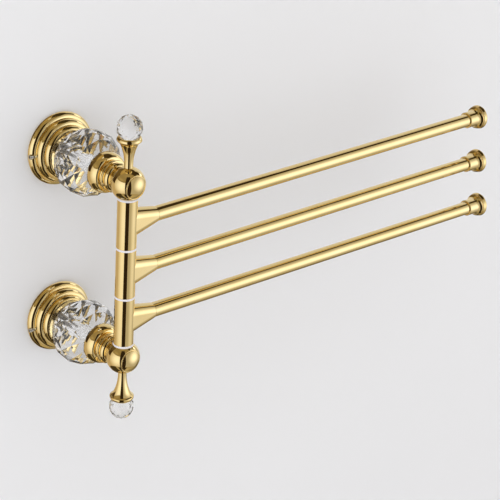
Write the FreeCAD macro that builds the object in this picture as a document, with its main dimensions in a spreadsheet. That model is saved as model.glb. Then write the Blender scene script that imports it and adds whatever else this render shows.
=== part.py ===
import FreeCAD, Part
import math
import os
import re

import Sketcher
from FreeCAD import Placement, Rotation, Vector

# A wall-mounted towel rack with three swinging arms, in millimetres.
# The wall is the plane Y = 0 and the rack stands out of it along -Y.
# Z is up, and the arms lie along +X at rest.
# The origin is on the wall, midway between the two wall rosettes.

SIZES = {
    # Fits
    "running_clearance": 0.05,
    "slip_clearance": 0.05,
    "seat_clearance": 0.3,
    # Wall plate
    "plate_thickness": 5.0,
    "wall_screw_spacing": 28.0,
    "wall_screw_hole": 5.2,
    # Rosette: three rounded beads that step in as they leave the wall
    "rosette_wall": 1.4,
    "bead_lip": 0.8,
    "ring_1_radius": 30.2,
    "ring_1_height": 6.5,
    "ring_1_round": 4.4,
    "ring_2_radius": 26.2,
    "ring_2_height": 6.0,
    "ring_2_round": 4.3,
    "ring_3_radius": 22.0,
    "ring_3_height": 4.5,
    "ring_3_round": 3.7,
    # Grub screw in the rosette's rim
    "grub_diameter": 4.0,
    "grub_height": 4.6,
    "grub_proud": 0.8,
    "grub_socket": 2.2,
    "grub_socket_depth": 2.0,
    "upper_grub_turn": 1.0,
    "lower_grub_turn": 8.0,
    # Tie rod and its nut
    "rod_diameter": 8.0,
    "rod_overrun": 1.5,
    "rod_end_wall": 1.5,
    "nut_width": 15.0,
    "nut_height": 5.0,
    # Crystal bulb, a faceted barrel between two gaskets
    "gasket_thickness": 0.8,
    "gasket_width": 11.0,
    "bulb_radius": 27.2,
    "bulb_length": 41.2,
    "bulb_back_radius": 16.0,
    "bulb_front_radius": 16.4,
    "bulb_facets": 12,
    "bulb_rows": 6,
    # Collar: round cup, waist, thin ring, bead and neck
    "cup_radius": 16.4,
    "cup_side": 3.0,
    "cup_curve_length": 6.0,
    "cup_curve_depth": 2.4,
    "collar_face": 0.6,
    "collar_waist": 11.4,
    "collar_waist_length": 2.6,
    "collar_ring_radius": 12.9,
    "collar_ring_width": 1.5,
    "collar_groove": 0.6,
    "collar_bead_rise": 1.3,
    "collar_bead_lift": 1.4,
    "collar_bead_round": 3.1,
    "collar_neck_radius": 8.7,
    "collar_neck_length": 0.6,
    # Ball
    "ball_diameter": 27.2,
    "ball_rim": 0.4,
    "ball_step": 8.0,
    "ball_ring_radius": 9.2,
    "ball_ring_width": 0.9,
    # Spindle and column
    "spindle_diameter": 8.0,
    "spindle_end_diameter": 5.0,
    "spindle_end_length": 10.0,
    "hub_diameter": 16.0,
    "hub_length": 40.0,
    "hub_chamfer": 0.4,
    "bush_wall": 1.0,
    "bush_length": 12.0,
    "washer_thickness": 1.6,
    "washer_proud": 0.35,
    # Bracket on the hub, an upright oblong that tapers to the tube
    "arm_rise": 0.7,
    "bracket_reach": 27.4,
    "bracket_height": 26.1,
    "bracket_side": 0.6,
    "bracket_drop": 1.05,
    "bracket_lip": 0.2,
    "bracket_end_flat": 0.5,
    "spigot_length": 16.0,
    # Arm tube
    "tube_diameter": 12.0,
    "tube_wall": 0.9,
    "tube_length": 375.1,
    "tube_chamfer": 0.25,
    # End cap
    "cap_socket_depth": 5.0,
    "cap_sleeve_wall": 1.25,
    "cap_sleeve_length": 8.5,
    "cap_flare_length": 4.7,
    "cap_lip_radius": 10.0,
    "cap_lip_width": 0.7,
    "cap_groove_depth": 0.5,
    "cap_groove_width": 0.5,
    "cap_button_radius": 11.2,
    "cap_button_taper": 0.9,
    "cap_button_width": 3.6,
    "cap_dome_height": 3.0,
    # Finial stem and its crystal ball
    "stem_wall": 0.95,
    "stem_straight": 3.0,
    "stem_waist_rise": 14.5,
    "stem_waist_spread": 2.8,
    "bell_rise": 3.8,
    "bell_curve": 11.0,
    "bell_turn_rise": 1.2,
    "bell_turn_spread": 0.9,
    "bell_lip_rise": 2.5,
    "bell_lip_spread": 1.2,
    "bell_rim_wall": 0.6,
    "bell_seat_depth": 2.9,
    "bead_radius": 10.3,
    "bead_foot_radius": 3.2,
    "bead_top_radius": 2.6,
    "bead_facets": 10,
    "bead_rows": 7,
    # Rest angles of the arms, outwards from the wall, in degrees
    "arm_1_rest": -1.2,
    "arm_2_rest": -0.5,
    "arm_3_rest": 0.5,
}

# Sizes that follow from those above
DERIVED = {
    "ring_2_base": "ring_1_height",
    "ring_3_base": "ring_1_height + ring_2_height",
    "rosette_depth": "ring_1_height + ring_2_height + ring_3_height",
    "cavity_1_radius": "ring_1_radius - ring_1_round - rosette_wall",
    "cavity_2_radius": "ring_2_radius - ring_2_round - rosette_wall",
    "cavity_3_radius": "ring_3_radius - ring_3_round - rosette_wall",
    "cavity_1_depth": "plate_thickness + seat_clearance",
    "cavity_2_depth": "ring_3_base - rosette_wall",
    "cavity_3_depth": "rosette_depth - rosette_wall",
    "plate_radius": "cavity_1_radius - seat_clearance",
    "rod_radius": "rod_diameter / 2",
    "rod_hole_radius": "rod_radius + slip_clearance",
    "rod_start": "cavity_3_depth - nut_height - rod_overrun",
    "rod_stop": "stand_off - spindle_bore_radius - rod_end_wall",
    "gasket_hole_radius": "rod_radius + seat_clearance",
    "gasket_radius": "gasket_hole_radius + gasket_width",
    "bulb_base": "rosette_depth + gasket_thickness",
    "front_gasket_base": "bulb_base + bulb_length",
    "collar_base": "front_gasket_base + gasket_thickness",
    "cup_front": "cup_side + cup_curve_length",
    "collar_waist_base": "cup_front + collar_face",
    "collar_ring_base": "collar_waist_base + collar_waist_length",
    "collar_groove_base": "collar_ring_base + collar_ring_width",
    "collar_bead_base": "collar_groove_base + collar_groove",
    "collar_bead_radius": "collar_neck_radius + collar_bead_round",
    "collar_neck_base": "collar_bead_base + collar_bead_lift + collar_bead_round",
    "collar_length": "collar_neck_base + collar_neck_length",
    "ball_radius": "ball_diameter / 2",
    "ball_back": "sqrt(ball_radius ^ 2 - collar_neck_radius ^ 2)",
    "ball_seat": "sqrt(ball_radius ^ 2 - hub_radius ^ 2)",
    "ball_crown": "sqrt(ball_radius ^ 2 - (stem_radius + ball_rim) ^ 2)",
    "stand_off": "collar_base + collar_length + ball_back",
    "spindle_radius": "spindle_diameter / 2",
    "spindle_bore_radius": "spindle_radius + running_clearance",
    "spindle_end_radius": "spindle_end_diameter / 2",
    "spindle_end_bore_radius": "spindle_end_radius + slip_clearance",
    "hub_radius": "hub_diameter / 2",
    "bush_radius": "spindle_bore_radius + bush_wall",
    "hub_bore_radius": "bush_radius + slip_clearance",
    "washer_radius": "hub_radius + washer_proud",
    "washer_hole_radius": "spindle_radius + seat_clearance",
    "column_pitch": "hub_length + washer_thickness",
    "column_half": "1.5 * hub_length + 2 * washer_thickness",
    "ball_height": "column_half + ball_seat",
    "ball_ring_front": "sqrt(ball_radius ^ 2 - ball_ring_radius ^ 2)",
    "arm_height": "hub_length / 2 + arm_rise",
    "tube_radius": "tube_diameter / 2",
    "tube_bore_radius": "tube_radius - tube_wall",
    "spigot_radius": "tube_bore_radius - slip_clearance",
    "bracket_root_radius": "hub_radius - bracket_side",
    "bracket_root_rise": "bracket_height / 2 - bracket_root_radius",
    "bracket_end_radius": "tube_radius + bracket_lip",
    "cap_socket_radius": "tube_radius + slip_clearance",
    "cap_sleeve_radius": "cap_socket_radius + cap_sleeve_wall",
    "cap_lip_base": "cap_sleeve_length + cap_flare_length",
    "cap_groove_base": "cap_lip_base + cap_lip_width",
    "cap_groove_radius": "cap_lip_radius - cap_groove_depth",
    "cap_button_base": "cap_groove_base + cap_groove_width",
    "cap_dome_base": "cap_button_base + cap_button_width",
    "cap_start": "bracket_reach + tube_length - cap_socket_depth",
    "stem_radius": "spindle_end_bore_radius + stem_wall",
    "stem_waist_radius": "stem_radius + stem_waist_spread",
    "bell_base": "stem_straight + stem_waist_rise",
    "bell_turn_base": "bell_base + bell_rise",
    "bell_lip_base": "bell_turn_base + bell_turn_rise",
    "stem_length": "bell_lip_base + bell_lip_rise",
    "bell_floor": "stem_length - bell_seat_depth",
    "bead_foot_drop": "sqrt(bead_radius ^ 2 - bead_foot_radius ^ 2)",
    "bead_crown_rise": "sqrt(bead_radius ^ 2 - bead_top_radius ^ 2)",
    "bead_above_rim": "bead_foot_drop - bell_seat_depth",
    "bell_seat_radius": "sqrt(bead_radius ^ 2 - bead_above_rim ^ 2) + seat_clearance",
    "bell_rim_radius": "bell_seat_radius + bell_rim_wall",
    "bell_radius": "bell_rim_radius + bell_lip_spread",
    "stem_hole_depth": "spindle_end_length + seat_clearance",
}

ARMS = (1, 2, 3)
SIDES = {"upper": 1, "lower": -1}

doc = FreeCAD.newDocument("SwingArmTowelRack")
sheet = doc.addObject("Spreadsheet::Sheet", "Sizes")
for row, (size_name, size) in enumerate(SIZES.items(), start=1):
    sheet.set(f"A{row}", size_name)
    sheet.set(f"B{row}", str(size))
    sheet.setAlias(f"B{row}", size_name)
doc.recompute()

pieces = []


# Sizes and places

def formula(words):
    """Writes words such as "hub_length / 2" as an expression on the sheet's cells."""
    def cell(match):
        word = match.group(0)
        if word in DERIVED:
            return f"({formula(DERIVED[word])})"
        return f"Sizes.{word}" if word in SIZES else word
    return re.sub(r"[a-z][a-z_0-9]*", cell, words)


def value(words):
    """The number that a formula has now."""
    return float(sheet.evalExpression(formula(words)))


def keep(piece, label, placement):
    """Names a finished piece, puts it in its place and lists it for writing."""
    piece.Label = label
    piece.Placement = placement
    pieces.append(piece)


def on_support(side, distance, turn="0"):
    """A place on a support's axis: the piece's own Z points away from the wall, and it may be turned."""
    centre = Vector(0, -value(distance), SIDES[side] * value("ball_height"))
    outwards = Placement(centre, Rotation(Vector(1, 0, 0), 90))
    return outwards.multiply(Placement(Vector(), Rotation(Vector(0, 0, 1), value(turn))))


def on_spindle(height, side="upper"):
    """A place on the spindle's axis, upside down for the lower side."""
    flip = Rotation(Vector(1, 0, 0), 0 if side == "upper" else 180)
    return Placement(Vector(0, -value("stand_off"), SIDES[side] * height), flip)


def hub_foot(arm):
    """Height of the lower end of an arm's hub."""
    return value("column_half") - arm * value("column_pitch")


def on_arm(arm, distance):
    """A place on an arm's axis: the piece's own Z points along the arm."""
    along = Placement(Vector(value(distance), 0, value("arm_height")), Rotation(Vector(0, 1, 0), 90))
    return on_hub(arm).multiply(along)


def on_hub(arm, height="0"):
    """A place on an arm's hub: the piece's own Z points up the spindle and its X along the arm."""
    foot = Vector(0, -value("stand_off"), hub_foot(arm) + value(height))
    return Placement(foot, Rotation(Vector(0, 0, -1), value(f"arm_{arm}_rest")))


# Sketches

def new_sketch(body, plane, name):
    """An empty sketch on one of the body's own planes."""
    sketch = body.newObject("Sketcher::SketchObject", name)
    planes = {feature.Role: feature for feature in body.Origin.OriginFeatures}
    sketch.AttachmentSupport = [(planes[plane], "")]
    sketch.MapMode = "FlatFace"
    return sketch


def bind(sketch, kind, places, words):
    """Adds a constraint whose value follows a formula."""
    index = sketch.addConstraint(Sketcher.Constraint(kind, *places, value(words)))
    sketch.setExpression(f"Constraints[{index}]", formula(words))


def pin(sketch, geometry, point, across, up):
    """Holds a point of the sketch at two formulas, measured from the sketch's origin."""
    if across == "0":
        sketch.addConstraint(Sketcher.Constraint("PointOnObject", geometry, point, -2))
    else:
        bind(sketch, "DistanceX", (-1, 1, geometry, point), across)
    if up == "0":
        sketch.addConstraint(Sketcher.Constraint("PointOnObject", geometry, point, -1))
    else:
        bind(sketch, "DistanceY", (-1, 1, geometry, point), up)


def arc_between(start, end, radius, bend):
    """The arc under a half circle from start to end, convex to its right or concave."""
    chord = end - start
    side = Vector(-chord.y, chord.x, 0) / chord.Length
    rise = math.sqrt(max(radius ** 2 - (chord.Length / 2) ** 2, 0))
    centre = (start + end) / 2 + side * (rise if bend == "convex" else -rise)
    first, last = (start, end) if bend == "convex" else (end, start)
    angles = [math.atan2(point.y - centre.y, point.x - centre.x) for point in (first, last)]
    return Part.ArcOfCircle(Part.Circle(centre, Vector(0, 0, 1), radius), *angles)


def draw_outline(sketch, outline):
    """Draws a closed outline, counter-clockwise, of corners that may each name the arc that leads to them."""
    corners = [Vector(value(corner[0]), value(corner[1]), 0) for corner in outline]
    ends = []
    for index, corner in enumerate(outline):
        start, end = corners[index - 1], corners[index]
        if len(corner) == 2:
            sketch.addGeometry(Part.LineSegment(start, end))
            ends.append((1, 2))
            continue
        sketch.addGeometry(arc_between(start, end, value(corner[2]), corner[3]))
        bind(sketch, "Radius", (index,), corner[2])
        ends.append((1, 2) if corner[3] == "convex" else (2, 1))
    for index, corner in enumerate(outline):
        following = (index + 1) % len(outline)
        meeting = (index, ends[index][1], following, ends[following][0])
        sketch.addConstraint(Sketcher.Constraint("Coincident", *meeting))
        pin(sketch, index, ends[index][1], corner[0], corner[1])


def draw_circle(sketch, radius, across="0", up="0"):
    """Draws a circle whose centre and radius follow formulas."""
    centre = Vector(value(across), value(up), 0)
    index = sketch.addGeometry(Part.Circle(centre, Vector(0, 0, 1), value(radius)))
    bind(sketch, "Radius", (index,), radius)
    pin(sketch, index, 3, across, up)


def draw_oblong(sketch, radius, rise, up):
    """Draws an oblong: half circles a rise below and above its middle, joined by straight sides."""
    wide = value(radius)
    levels = (f"{up} - {rise}", f"{up} + {rise}")
    low, high = (Vector(0, value(level), 0) for level in levels)
    side = Vector(wide, 0, 0)
    sketch.addGeometry(Part.ArcOfCircle(Part.Circle(low, Vector(0, 0, 1), wide), math.pi, 2 * math.pi))
    sketch.addGeometry(Part.LineSegment(low + side, high + side))
    sketch.addGeometry(Part.ArcOfCircle(Part.Circle(high, Vector(0, 0, 1), wide), 0, math.pi))
    sketch.addGeometry(Part.LineSegment(high - side, low - side))
    for index in range(4):
        sketch.addConstraint(Sketcher.Constraint("Coincident", index, 2, (index + 1) % 4, 1))
    for arc, level in zip((0, 2), levels):
        bind(sketch, "Radius", (arc,), radius)
        pin(sketch, arc, 3, "0", level)
        for end in (1, 2):
            bind(sketch, "DistanceY", (-1, 1, arc, end), level)


# Solids

def turned(name, outline):
    """A body turned from an outline of (radius, height) corners about its own Z."""
    body = doc.addObject("PartDesign::Body", name)
    sketch = new_sketch(body, "XZ_Plane", f"{name}_outline")
    draw_outline(sketch, outline)
    turning = body.newObject("PartDesign::Revolution", f"{name}_turning")
    turning.Profile = sketch
    turning.ReferenceAxis = (sketch, ["V_Axis"])
    turning.Angle = 360.0
    return body


def ring_outline(inner, outer, height):
    """The outline of a plain ring."""
    return [(inner, "0"), (outer, "0"), (outer, height), (inner, height)]


def cylinder(name, radius, height):
    """A plain cylinder on its own Z."""
    solid = doc.addObject("Part::Cylinder", name)
    solid.setExpression("Radius", formula(radius))
    solid.setExpression("Height", formula(height))
    return solid


def hexagon(name, corner_radius, height):
    """A six-sided prism on its own Z."""
    solid = doc.addObject("Part::Prism", name)
    solid.Polygon = 6
    solid.setExpression("Circumradius", formula(corner_radius))
    solid.setExpression("Height", formula(height))
    return solid


def cut(name, base, tool):
    """One solid less another."""
    solid = doc.addObject("Part::Cut", name)
    solid.Base = base
    solid.Tool = tool
    return solid


def faceted(rows, facets):
    """A solid of flat triangles over rows of (radius, height), each row turned half a facet from the last."""
    step = 2 * math.pi / facets
    rings = []
    for index, (radius, height) in enumerate(rows):
        turns = [(spoke + index % 2 / 2) * step for spoke in range(facets)]
        rings.append([Vector(radius * math.cos(turn), radius * math.sin(turn), height) for turn in turns])
    outlines = [rings[0], rings[-1]]
    for index, (low, high) in enumerate(zip(rings, rings[1:])):
        for spoke in range(facets):
            after = (spoke + 1) % facets
            low_tip, high_tip = (after, spoke) if index % 2 == 0 else (spoke, after)
            outlines.append([low[spoke], low[after], high[high_tip]])
            outlines.append([high[spoke], high[after], low[low_tip]])
    faces = [Part.Face(Part.makePolygon(corners + corners[:1])) for corners in outlines]
    solid = Part.Solid(Part.Shell(faces))
    if solid.Volume < 0:
        solid.reverse()
    return solid


def barrel_rows(radius, back_radius, front_radius, length, count):
    """Rows of an elliptical barrel that is cut off at two end radii, from 0 to its length."""
    back_turn = -math.acos(back_radius / radius)
    front_turn = math.acos(front_radius / radius)
    half = length / (math.sin(front_turn) - math.sin(back_turn))
    turns = [back_turn + (front_turn - back_turn) * row / (count - 1) for row in range(count)]
    return [(radius * math.cos(turn), half * (math.sin(turn) - math.sin(back_turn))) for turn in turns]


# Wall supports

def wall_plate(side):
    """The round plate that is screwed to the wall."""
    body = doc.addObject("PartDesign::Body", f"{side}_wall_plate")
    sketch = new_sketch(body, "XY_Plane", f"{side}_plate_outline")
    draw_circle(sketch, "plate_radius", "plate_radius", "plate_radius")
    for sign in ("-", "+"):
        across = f"plate_radius {sign} wall_screw_spacing / 2"
        draw_circle(sketch, "wall_screw_hole / 2", across, "plate_radius")
    pad = body.newObject("PartDesign::Pad", f"{side}_plate_pad")
    pad.Profile = sketch
    pad.setExpression("Length", formula("plate_thickness"))
    corner = Placement(Vector(-value("plate_radius"), -value("plate_radius"), 0), Rotation())
    keep(body, f"{side}_wall_plate", on_support(side, "0").multiply(corner))


def rosette(side):
    """The hollow cover of three beads, with a hole for the tie rod and one for the grub screw."""
    outline = [("cavity_1_radius", "0")]
    for ring in (1, 2, 3):
        base = f"ring_{ring}_base" if ring > 1 else "0"
        lift = f"(ring_{ring}_height - ring_{ring}_round)"
        under = f"(bead_lip ^ 2 + {lift} ^ 2) / (2 * bead_lip)"
        outline.append((f"ring_{ring}_radius - bead_lip", base))
        outline.append((f"ring_{ring}_radius", f"{base} + {lift}", under, "convex"))
        shoulder = f"ring_{ring}_radius - ring_{ring}_round"
        outline.append((shoulder, f"{base} + ring_{ring}_height", f"ring_{ring}_round", "convex"))
    outline.append(("rod_hole_radius", "rosette_depth"))
    outline.append(("rod_hole_radius", "cavity_3_depth"))
    outline.append(("cavity_3_radius", "cavity_3_depth"))
    outline.append(("cavity_3_radius", "cavity_2_depth"))
    outline.append(("cavity_2_radius", "cavity_2_depth"))
    outline.append(("cavity_2_radius", "cavity_1_depth"))
    outline.append(("cavity_1_radius", "cavity_1_depth"))
    body = turned(f"{side}_rosette", outline)
    doc.recompute()
    hole = new_sketch(body, "YZ_Plane", f"{side}_grub_hole")
    draw_circle(hole, "grub_diameter / 2 + slip_clearance", "0", "grub_height")
    pocket = body.newObject("PartDesign::Pocket", f"{side}_grub_pocket")
    pocket.Profile = hole
    pocket.setExpression("Length", formula("ring_1_radius"))
    keep(body, f"{side}_rosette", on_support(side, "0", f"{side}_grub_turn"))


def grub_screw(side):
    """The socket screw that runs through the rosette's rim to the plate's edge."""
    length = "ring_1_radius + grub_proud - plate_radius"
    shank = cylinder(f"{side}_grub_shank", "grub_diameter / 2", length)
    socket = hexagon(f"{side}_grub_socket", "grub_socket / 2", "grub_socket_depth")
    socket.setExpression("Placement.Base.z", formula(f"{length} - grub_socket_depth"))
    tip = Placement(Vector(-value("plate_radius"), 0, 0), Rotation(Vector(0, 1, 0), -90))
    screw = cut(f"{side}_grub_screw", shank, socket)
    keep(screw, f"{side}_grub_screw", on_support(side, "grub_height", f"{side}_grub_turn").multiply(tip))


def tie_rod(side):
    """The rod from the nut in the rosette, through the bulb and the collar, into the ball."""
    rod = cylinder(f"{side}_tie_rod", "rod_radius", "rod_stop - rod_start")
    keep(rod, f"{side}_tie_rod", on_support(side, "rod_start"))


def tie_nut(side):
    """The hexagon nut inside the rosette."""
    blank = hexagon(f"{side}_nut_blank", "nut_width / 2", "nut_height")
    hole = cylinder(f"{side}_nut_hole", "rod_hole_radius", "nut_height")
    nut = cut(f"{side}_tie_nut", blank, hole)
    keep(nut, f"{side}_tie_nut", on_support(side, "cavity_3_depth - nut_height"))


def bulb_gaskets(side):
    """The thin rings at the two ends of the crystal bulb."""
    for end, base in (("back", "rosette_depth"), ("front", "front_gasket_base")):
        outline = ring_outline("gasket_hole_radius", "gasket_radius", "gasket_thickness")
        keep(turned(f"{side}_{end}_gasket", outline), f"{side}_{end}_gasket", on_support(side, base))


def crystal_bulb(side):
    """The faceted barrel of crystal, bored for the tie rod."""
    length = value("bulb_length")
    ends = (value("bulb_back_radius"), value("bulb_front_radius"))
    rows = barrel_rows(value("bulb_radius"), *ends, length, int(value("bulb_rows")))
    solid = faceted(rows, int(value("bulb_facets")))
    bulb = doc.addObject("Part::Feature", f"{side}_crystal_bulb")
    bulb.Shape = solid.cut(Part.makeCylinder(value("gasket_hole_radius"), length))
    keep(bulb, f"{side}_crystal_bulb", on_support(side, "bulb_base"))


def collar(side):
    """The round cup in front of the bulb, then a waist, a thin ring, a bead and a neck up to the ball."""
    curve = "(cup_curve_depth ^ 2 + cup_curve_length ^ 2) / (2 * cup_curve_depth)"
    crest = "collar_bead_base + collar_bead_lift"
    bead_foot = "collar_bead_radius - collar_bead_rise"
    under = "(collar_bead_rise ^ 2 + collar_bead_lift ^ 2) / (2 * collar_bead_rise)"
    outline = [
        ("rod_hole_radius", "0"),
        ("cup_radius", "0"),
        ("cup_radius", "cup_side"),
        ("cup_radius - cup_curve_depth", "cup_front", curve, "convex"),
        ("collar_waist", "collar_waist_base"),
        ("collar_waist", "collar_ring_base"),
        ("collar_ring_radius", "collar_ring_base"),
        ("collar_ring_radius", "collar_groove_base"),
        (bead_foot, "collar_bead_base"),
        ("collar_bead_radius", crest, under, "convex"),
        ("collar_neck_radius", "collar_neck_base", "collar_bead_round", "convex"),
        ("collar_neck_radius", "collar_length"),
        ("rod_hole_radius", "collar_length"),
    ]
    keep(turned(f"{side}_collar", outline), f"{side}_collar", on_support(side, "collar_base"))


def ball(side):
    """The ball with flats for collar, column and finial, bored, and with a fine ring turned in its front."""
    name = f"{side}_ball"
    sphere = doc.addObject("Part::Sphere", f"{name}_sphere")
    sphere.setExpression("Radius", formula("ball_radius"))
    block = doc.addObject("Part::Box", f"{name}_flats")
    block.setExpression("Length", formula("ball_diameter"))
    block.setExpression("Width", formula("ball_radius + ball_back"))
    block.setExpression("Height", formula("ball_seat + ball_crown"))
    front = "-ball_radius" if side == "upper" else "-ball_back"
    for axis, words in (("x", "-ball_radius"), ("y", front), ("z", "-ball_seat")):
        block.setExpression(f"Placement.Base.{axis}", formula(words))
    flatted = doc.addObject("Part::Common", f"{name}_flatted")
    flatted.Base = sphere
    flatted.Tool = block
    bore = cylinder(f"{name}_bore", "spindle_bore_radius", "ball_seat + ball_step")
    bore.setExpression("Placement.Base.z", formula("-ball_seat"))
    end_bore = cylinder(f"{name}_end_bore", "spindle_end_bore_radius", "ball_crown")
    socket_depth = "rod_stop - stand_off + ball_back + slip_clearance"
    socket = cylinder(f"{name}_socket", "rod_hole_radius", socket_depth)
    socket.Placement.Rotation = Rotation(Vector(1, 0, 0), 90 if side == "upper" else -90)
    socket.setExpression("Placement.Base.y", formula("ball_back" if side == "upper" else "-ball_back"))
    ring = doc.addObject("Part::Torus", f"{name}_ring")
    ring.setExpression("Radius1", formula("ball_ring_radius"))
    ring.setExpression("Radius2", formula("ball_ring_width / 2"))
    ring.Placement.Rotation = Rotation(Vector(1, 0, 0), 90)
    ring_place = "-ball_ring_front" if side == "upper" else "ball_ring_front"
    ring.setExpression("Placement.Base.y", formula(ring_place))
    bored = cut(f"{name}_bored", flatted, bore)
    ended = cut(f"{name}_ended", bored, end_bore)
    ringed = cut(f"{name}_ringed", ended, ring)
    keep(cut(name, ringed, socket), name, on_spindle(value("ball_height"), side))


# Column

def spindle():
    """The rod through the hubs and both balls, with a reduced end for each finial stem."""
    half = "(ball_height + ball_step - slip_clearance)"
    end = "(ball_height + ball_crown + spindle_end_length)"
    outline = [
        ("0", "0"),
        ("spindle_end_radius", "0"),
        ("spindle_end_radius", f"{end} - {half}"),
        ("spindle_radius", f"{end} - {half}"),
        ("spindle_radius", f"{end} + {half}"),
        ("spindle_end_radius", f"{end} + {half}"),
        ("spindle_end_radius", f"2 * {end}"),
        ("0", f"2 * {end}"),
    ]
    keep(turned("spindle", outline), "spindle", on_spindle(-value(end)))


def pivot_washers():
    """The four pale washers, from the top of the column down."""
    for index in range(len(ARMS) + 1):
        name = f"pivot_washer_{index + 1}"
        outline = ring_outline("washer_hole_radius", "washer_radius", "washer_thickness")
        height = value("column_half - washer_thickness") - index * value("column_pitch")
        keep(turned(name, outline), name, on_spindle(height))


def finial_stem(side):
    """The trumpet-shaped stem that screws on to the spindle's end and holds the crystal ball in its bell."""
    waist = "(stem_waist_spread ^ 2 + stem_waist_rise ^ 2) / (2 * stem_waist_spread)"
    turn = "(bell_turn_spread ^ 2 + bell_turn_rise ^ 2) / (2 * bell_turn_spread)"
    lip = "(bell_lip_spread ^ 2 + bell_lip_rise ^ 2) / (2 * bell_lip_spread)"
    outline = [
        ("spindle_end_bore_radius", "0"),
        ("stem_radius", "0"),
        ("stem_radius", "stem_straight"),
        ("stem_waist_radius", "bell_base", waist, "concave"),
        ("bell_radius - bell_turn_spread", "bell_turn_base", "bell_curve", "concave"),
        ("bell_radius", "bell_lip_base", turn, "convex"),
        ("bell_rim_radius", "stem_length", lip, "convex"),
        ("bell_seat_radius", "stem_length"),
        ("bell_seat_radius", "bell_floor"),
        ("0", "bell_floor"),
        ("0", "stem_hole_depth"),
        ("spindle_end_bore_radius", "stem_hole_depth"),
    ]
    height = value("ball_height + ball_crown")
    keep(turned(f"{side}_finial_stem", outline), f"{side}_finial_stem", on_spindle(height, side))


def finial_crystal(side):
    """The faceted crystal ball, flat where it stands on the bell's floor."""
    ends = (value("bead_foot_radius"), value("bead_top_radius"))
    length = value("bead_foot_drop + bead_crown_rise")
    rows = barrel_rows(value("bead_radius"), *ends, length, int(value("bead_rows")))
    bead = doc.addObject("Part::Feature", f"{side}_finial_crystal")
    bead.Shape = faceted(rows, int(value("bead_facets")))
    height = value("ball_height + ball_crown + bell_floor")
    keep(bead, f"{side}_finial_crystal", on_spindle(height, side))


# Arms

def hub(arm):
    """The hub on the spindle, the oblong bracket that tapers to the tube and the spigot inside the tube."""
    name = f"arm_{arm}_hub"
    outline = [
        ("0", "0"),
        ("hub_radius - hub_chamfer", "0"),
        ("hub_radius", "hub_chamfer"),
        ("hub_radius", "hub_length - hub_chamfer"),
        ("hub_radius - hub_chamfer", "hub_length"),
        ("0", "hub_length"),
    ]
    body = turned(name, outline)
    root = new_sketch(body, "YZ_Plane", f"{name}_root")
    draw_oblong(root, "bracket_root_radius", "bracket_root_rise", "arm_height - bracket_drop")
    ends = {}
    for feature in ("shoulder", "spigot"):
        ends[feature] = new_sketch(body, "YZ_Plane", f"{name}_{feature}")
        ends[feature].setExpression("AttachmentOffset.Base.z", formula("bracket_reach"))
    draw_oblong(ends["shoulder"], "bracket_end_radius", "bracket_end_flat / 2", "arm_height")
    draw_circle(ends["spigot"], "spigot_radius", "0", "arm_height")
    bore = new_sketch(body, "XZ_Plane", f"{name}_bore")
    draw_outline(bore, ring_outline("0", "hub_bore_radius", "hub_length"))
    doc.recompute()
    bracket = body.newObject("PartDesign::AdditiveLoft", f"{name}_bracket")
    bracket.Profile = root
    bracket.Sections = [ends["shoulder"]]
    bracket.Ruled = True
    spigot = body.newObject("PartDesign::Pad", f"{name}_spigot_pad")
    spigot.Profile = ends["spigot"]
    spigot.setExpression("Length", formula("spigot_length"))
    boring = body.newObject("PartDesign::Groove", f"{name}_boring")
    boring.Profile = bore
    boring.ReferenceAxis = (bore, ["V_Axis"])
    boring.Angle = 360.0
    keep(body, name, on_hub(arm))


def hub_bushes(arm):
    """The bush in each end of a hub."""
    for end, height in (("lower", "0"), ("upper", "hub_length - bush_length")):
        name = f"arm_{arm}_{end}_bush"
        outline = ring_outline("spindle_bore_radius", "bush_radius", "bush_length")
        keep(turned(name, outline), name, on_hub(arm, height))


def arm_tube(arm):
    """The straight tube, with a small chamfer at each end."""
    outline = [
        ("tube_bore_radius", "0"),
        ("tube_radius - tube_chamfer", "0"),
        ("tube_radius", "tube_chamfer"),
        ("tube_radius", "tube_length - tube_chamfer"),
        ("tube_radius - tube_chamfer", "tube_length"),
        ("tube_bore_radius", "tube_length"),
    ]
    keep(turned(f"arm_{arm}_tube", outline), f"arm_{arm}_tube", on_arm(arm, "bracket_reach"))


def end_cap(arm):
    """The cap on the tube's end: a sleeve that flares to a lip, a groove and a domed button."""
    spread = "(cap_lip_radius - cap_sleeve_radius)"
    flare = f"({spread} ^ 2 + cap_flare_length ^ 2) / (2 * {spread})"
    dome = "(cap_button_radius ^ 2 + cap_dome_height ^ 2) / (2 * cap_dome_height)"
    outline = [
        ("cap_socket_radius", "0"),
        ("cap_sleeve_radius - tube_chamfer", "0"),
        ("cap_sleeve_radius", "tube_chamfer"),
        ("cap_sleeve_radius", "cap_sleeve_length"),
        ("cap_lip_radius", "cap_lip_base", flare, "concave"),
        ("cap_lip_radius", "cap_groove_base"),
        ("cap_groove_radius", "cap_groove_base"),
        ("cap_groove_radius", "cap_button_base"),
        ("cap_button_radius - cap_button_taper", "cap_button_base"),
        ("cap_button_radius", "cap_dome_base"),
        ("0", "cap_dome_base + cap_dome_height", dome, "convex"),
        ("0", "cap_socket_depth"),
        ("cap_socket_radius", "cap_socket_depth"),
    ]
    keep(turned(f"arm_{arm}_end_cap", outline), f"arm_{arm}_end_cap", on_arm(arm, "cap_start"))


# The whole rack

for wall_side in SIDES:
    wall_plate(wall_side)
    rosette(wall_side)
    grub_screw(wall_side)
    tie_rod(wall_side)
    tie_nut(wall_side)
    bulb_gaskets(wall_side)
    crystal_bulb(wall_side)
    collar(wall_side)
    ball(wall_side)
    finial_stem(wall_side)
    finial_crystal(wall_side)
spindle()
pivot_washers()
for arm_number in ARMS:
    hub(arm_number)
    hub_bushes(arm_number)
    arm_tube(arm_number)
    end_cap(arm_number)
doc.recompute()

# Check, then write one file for each piece

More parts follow.
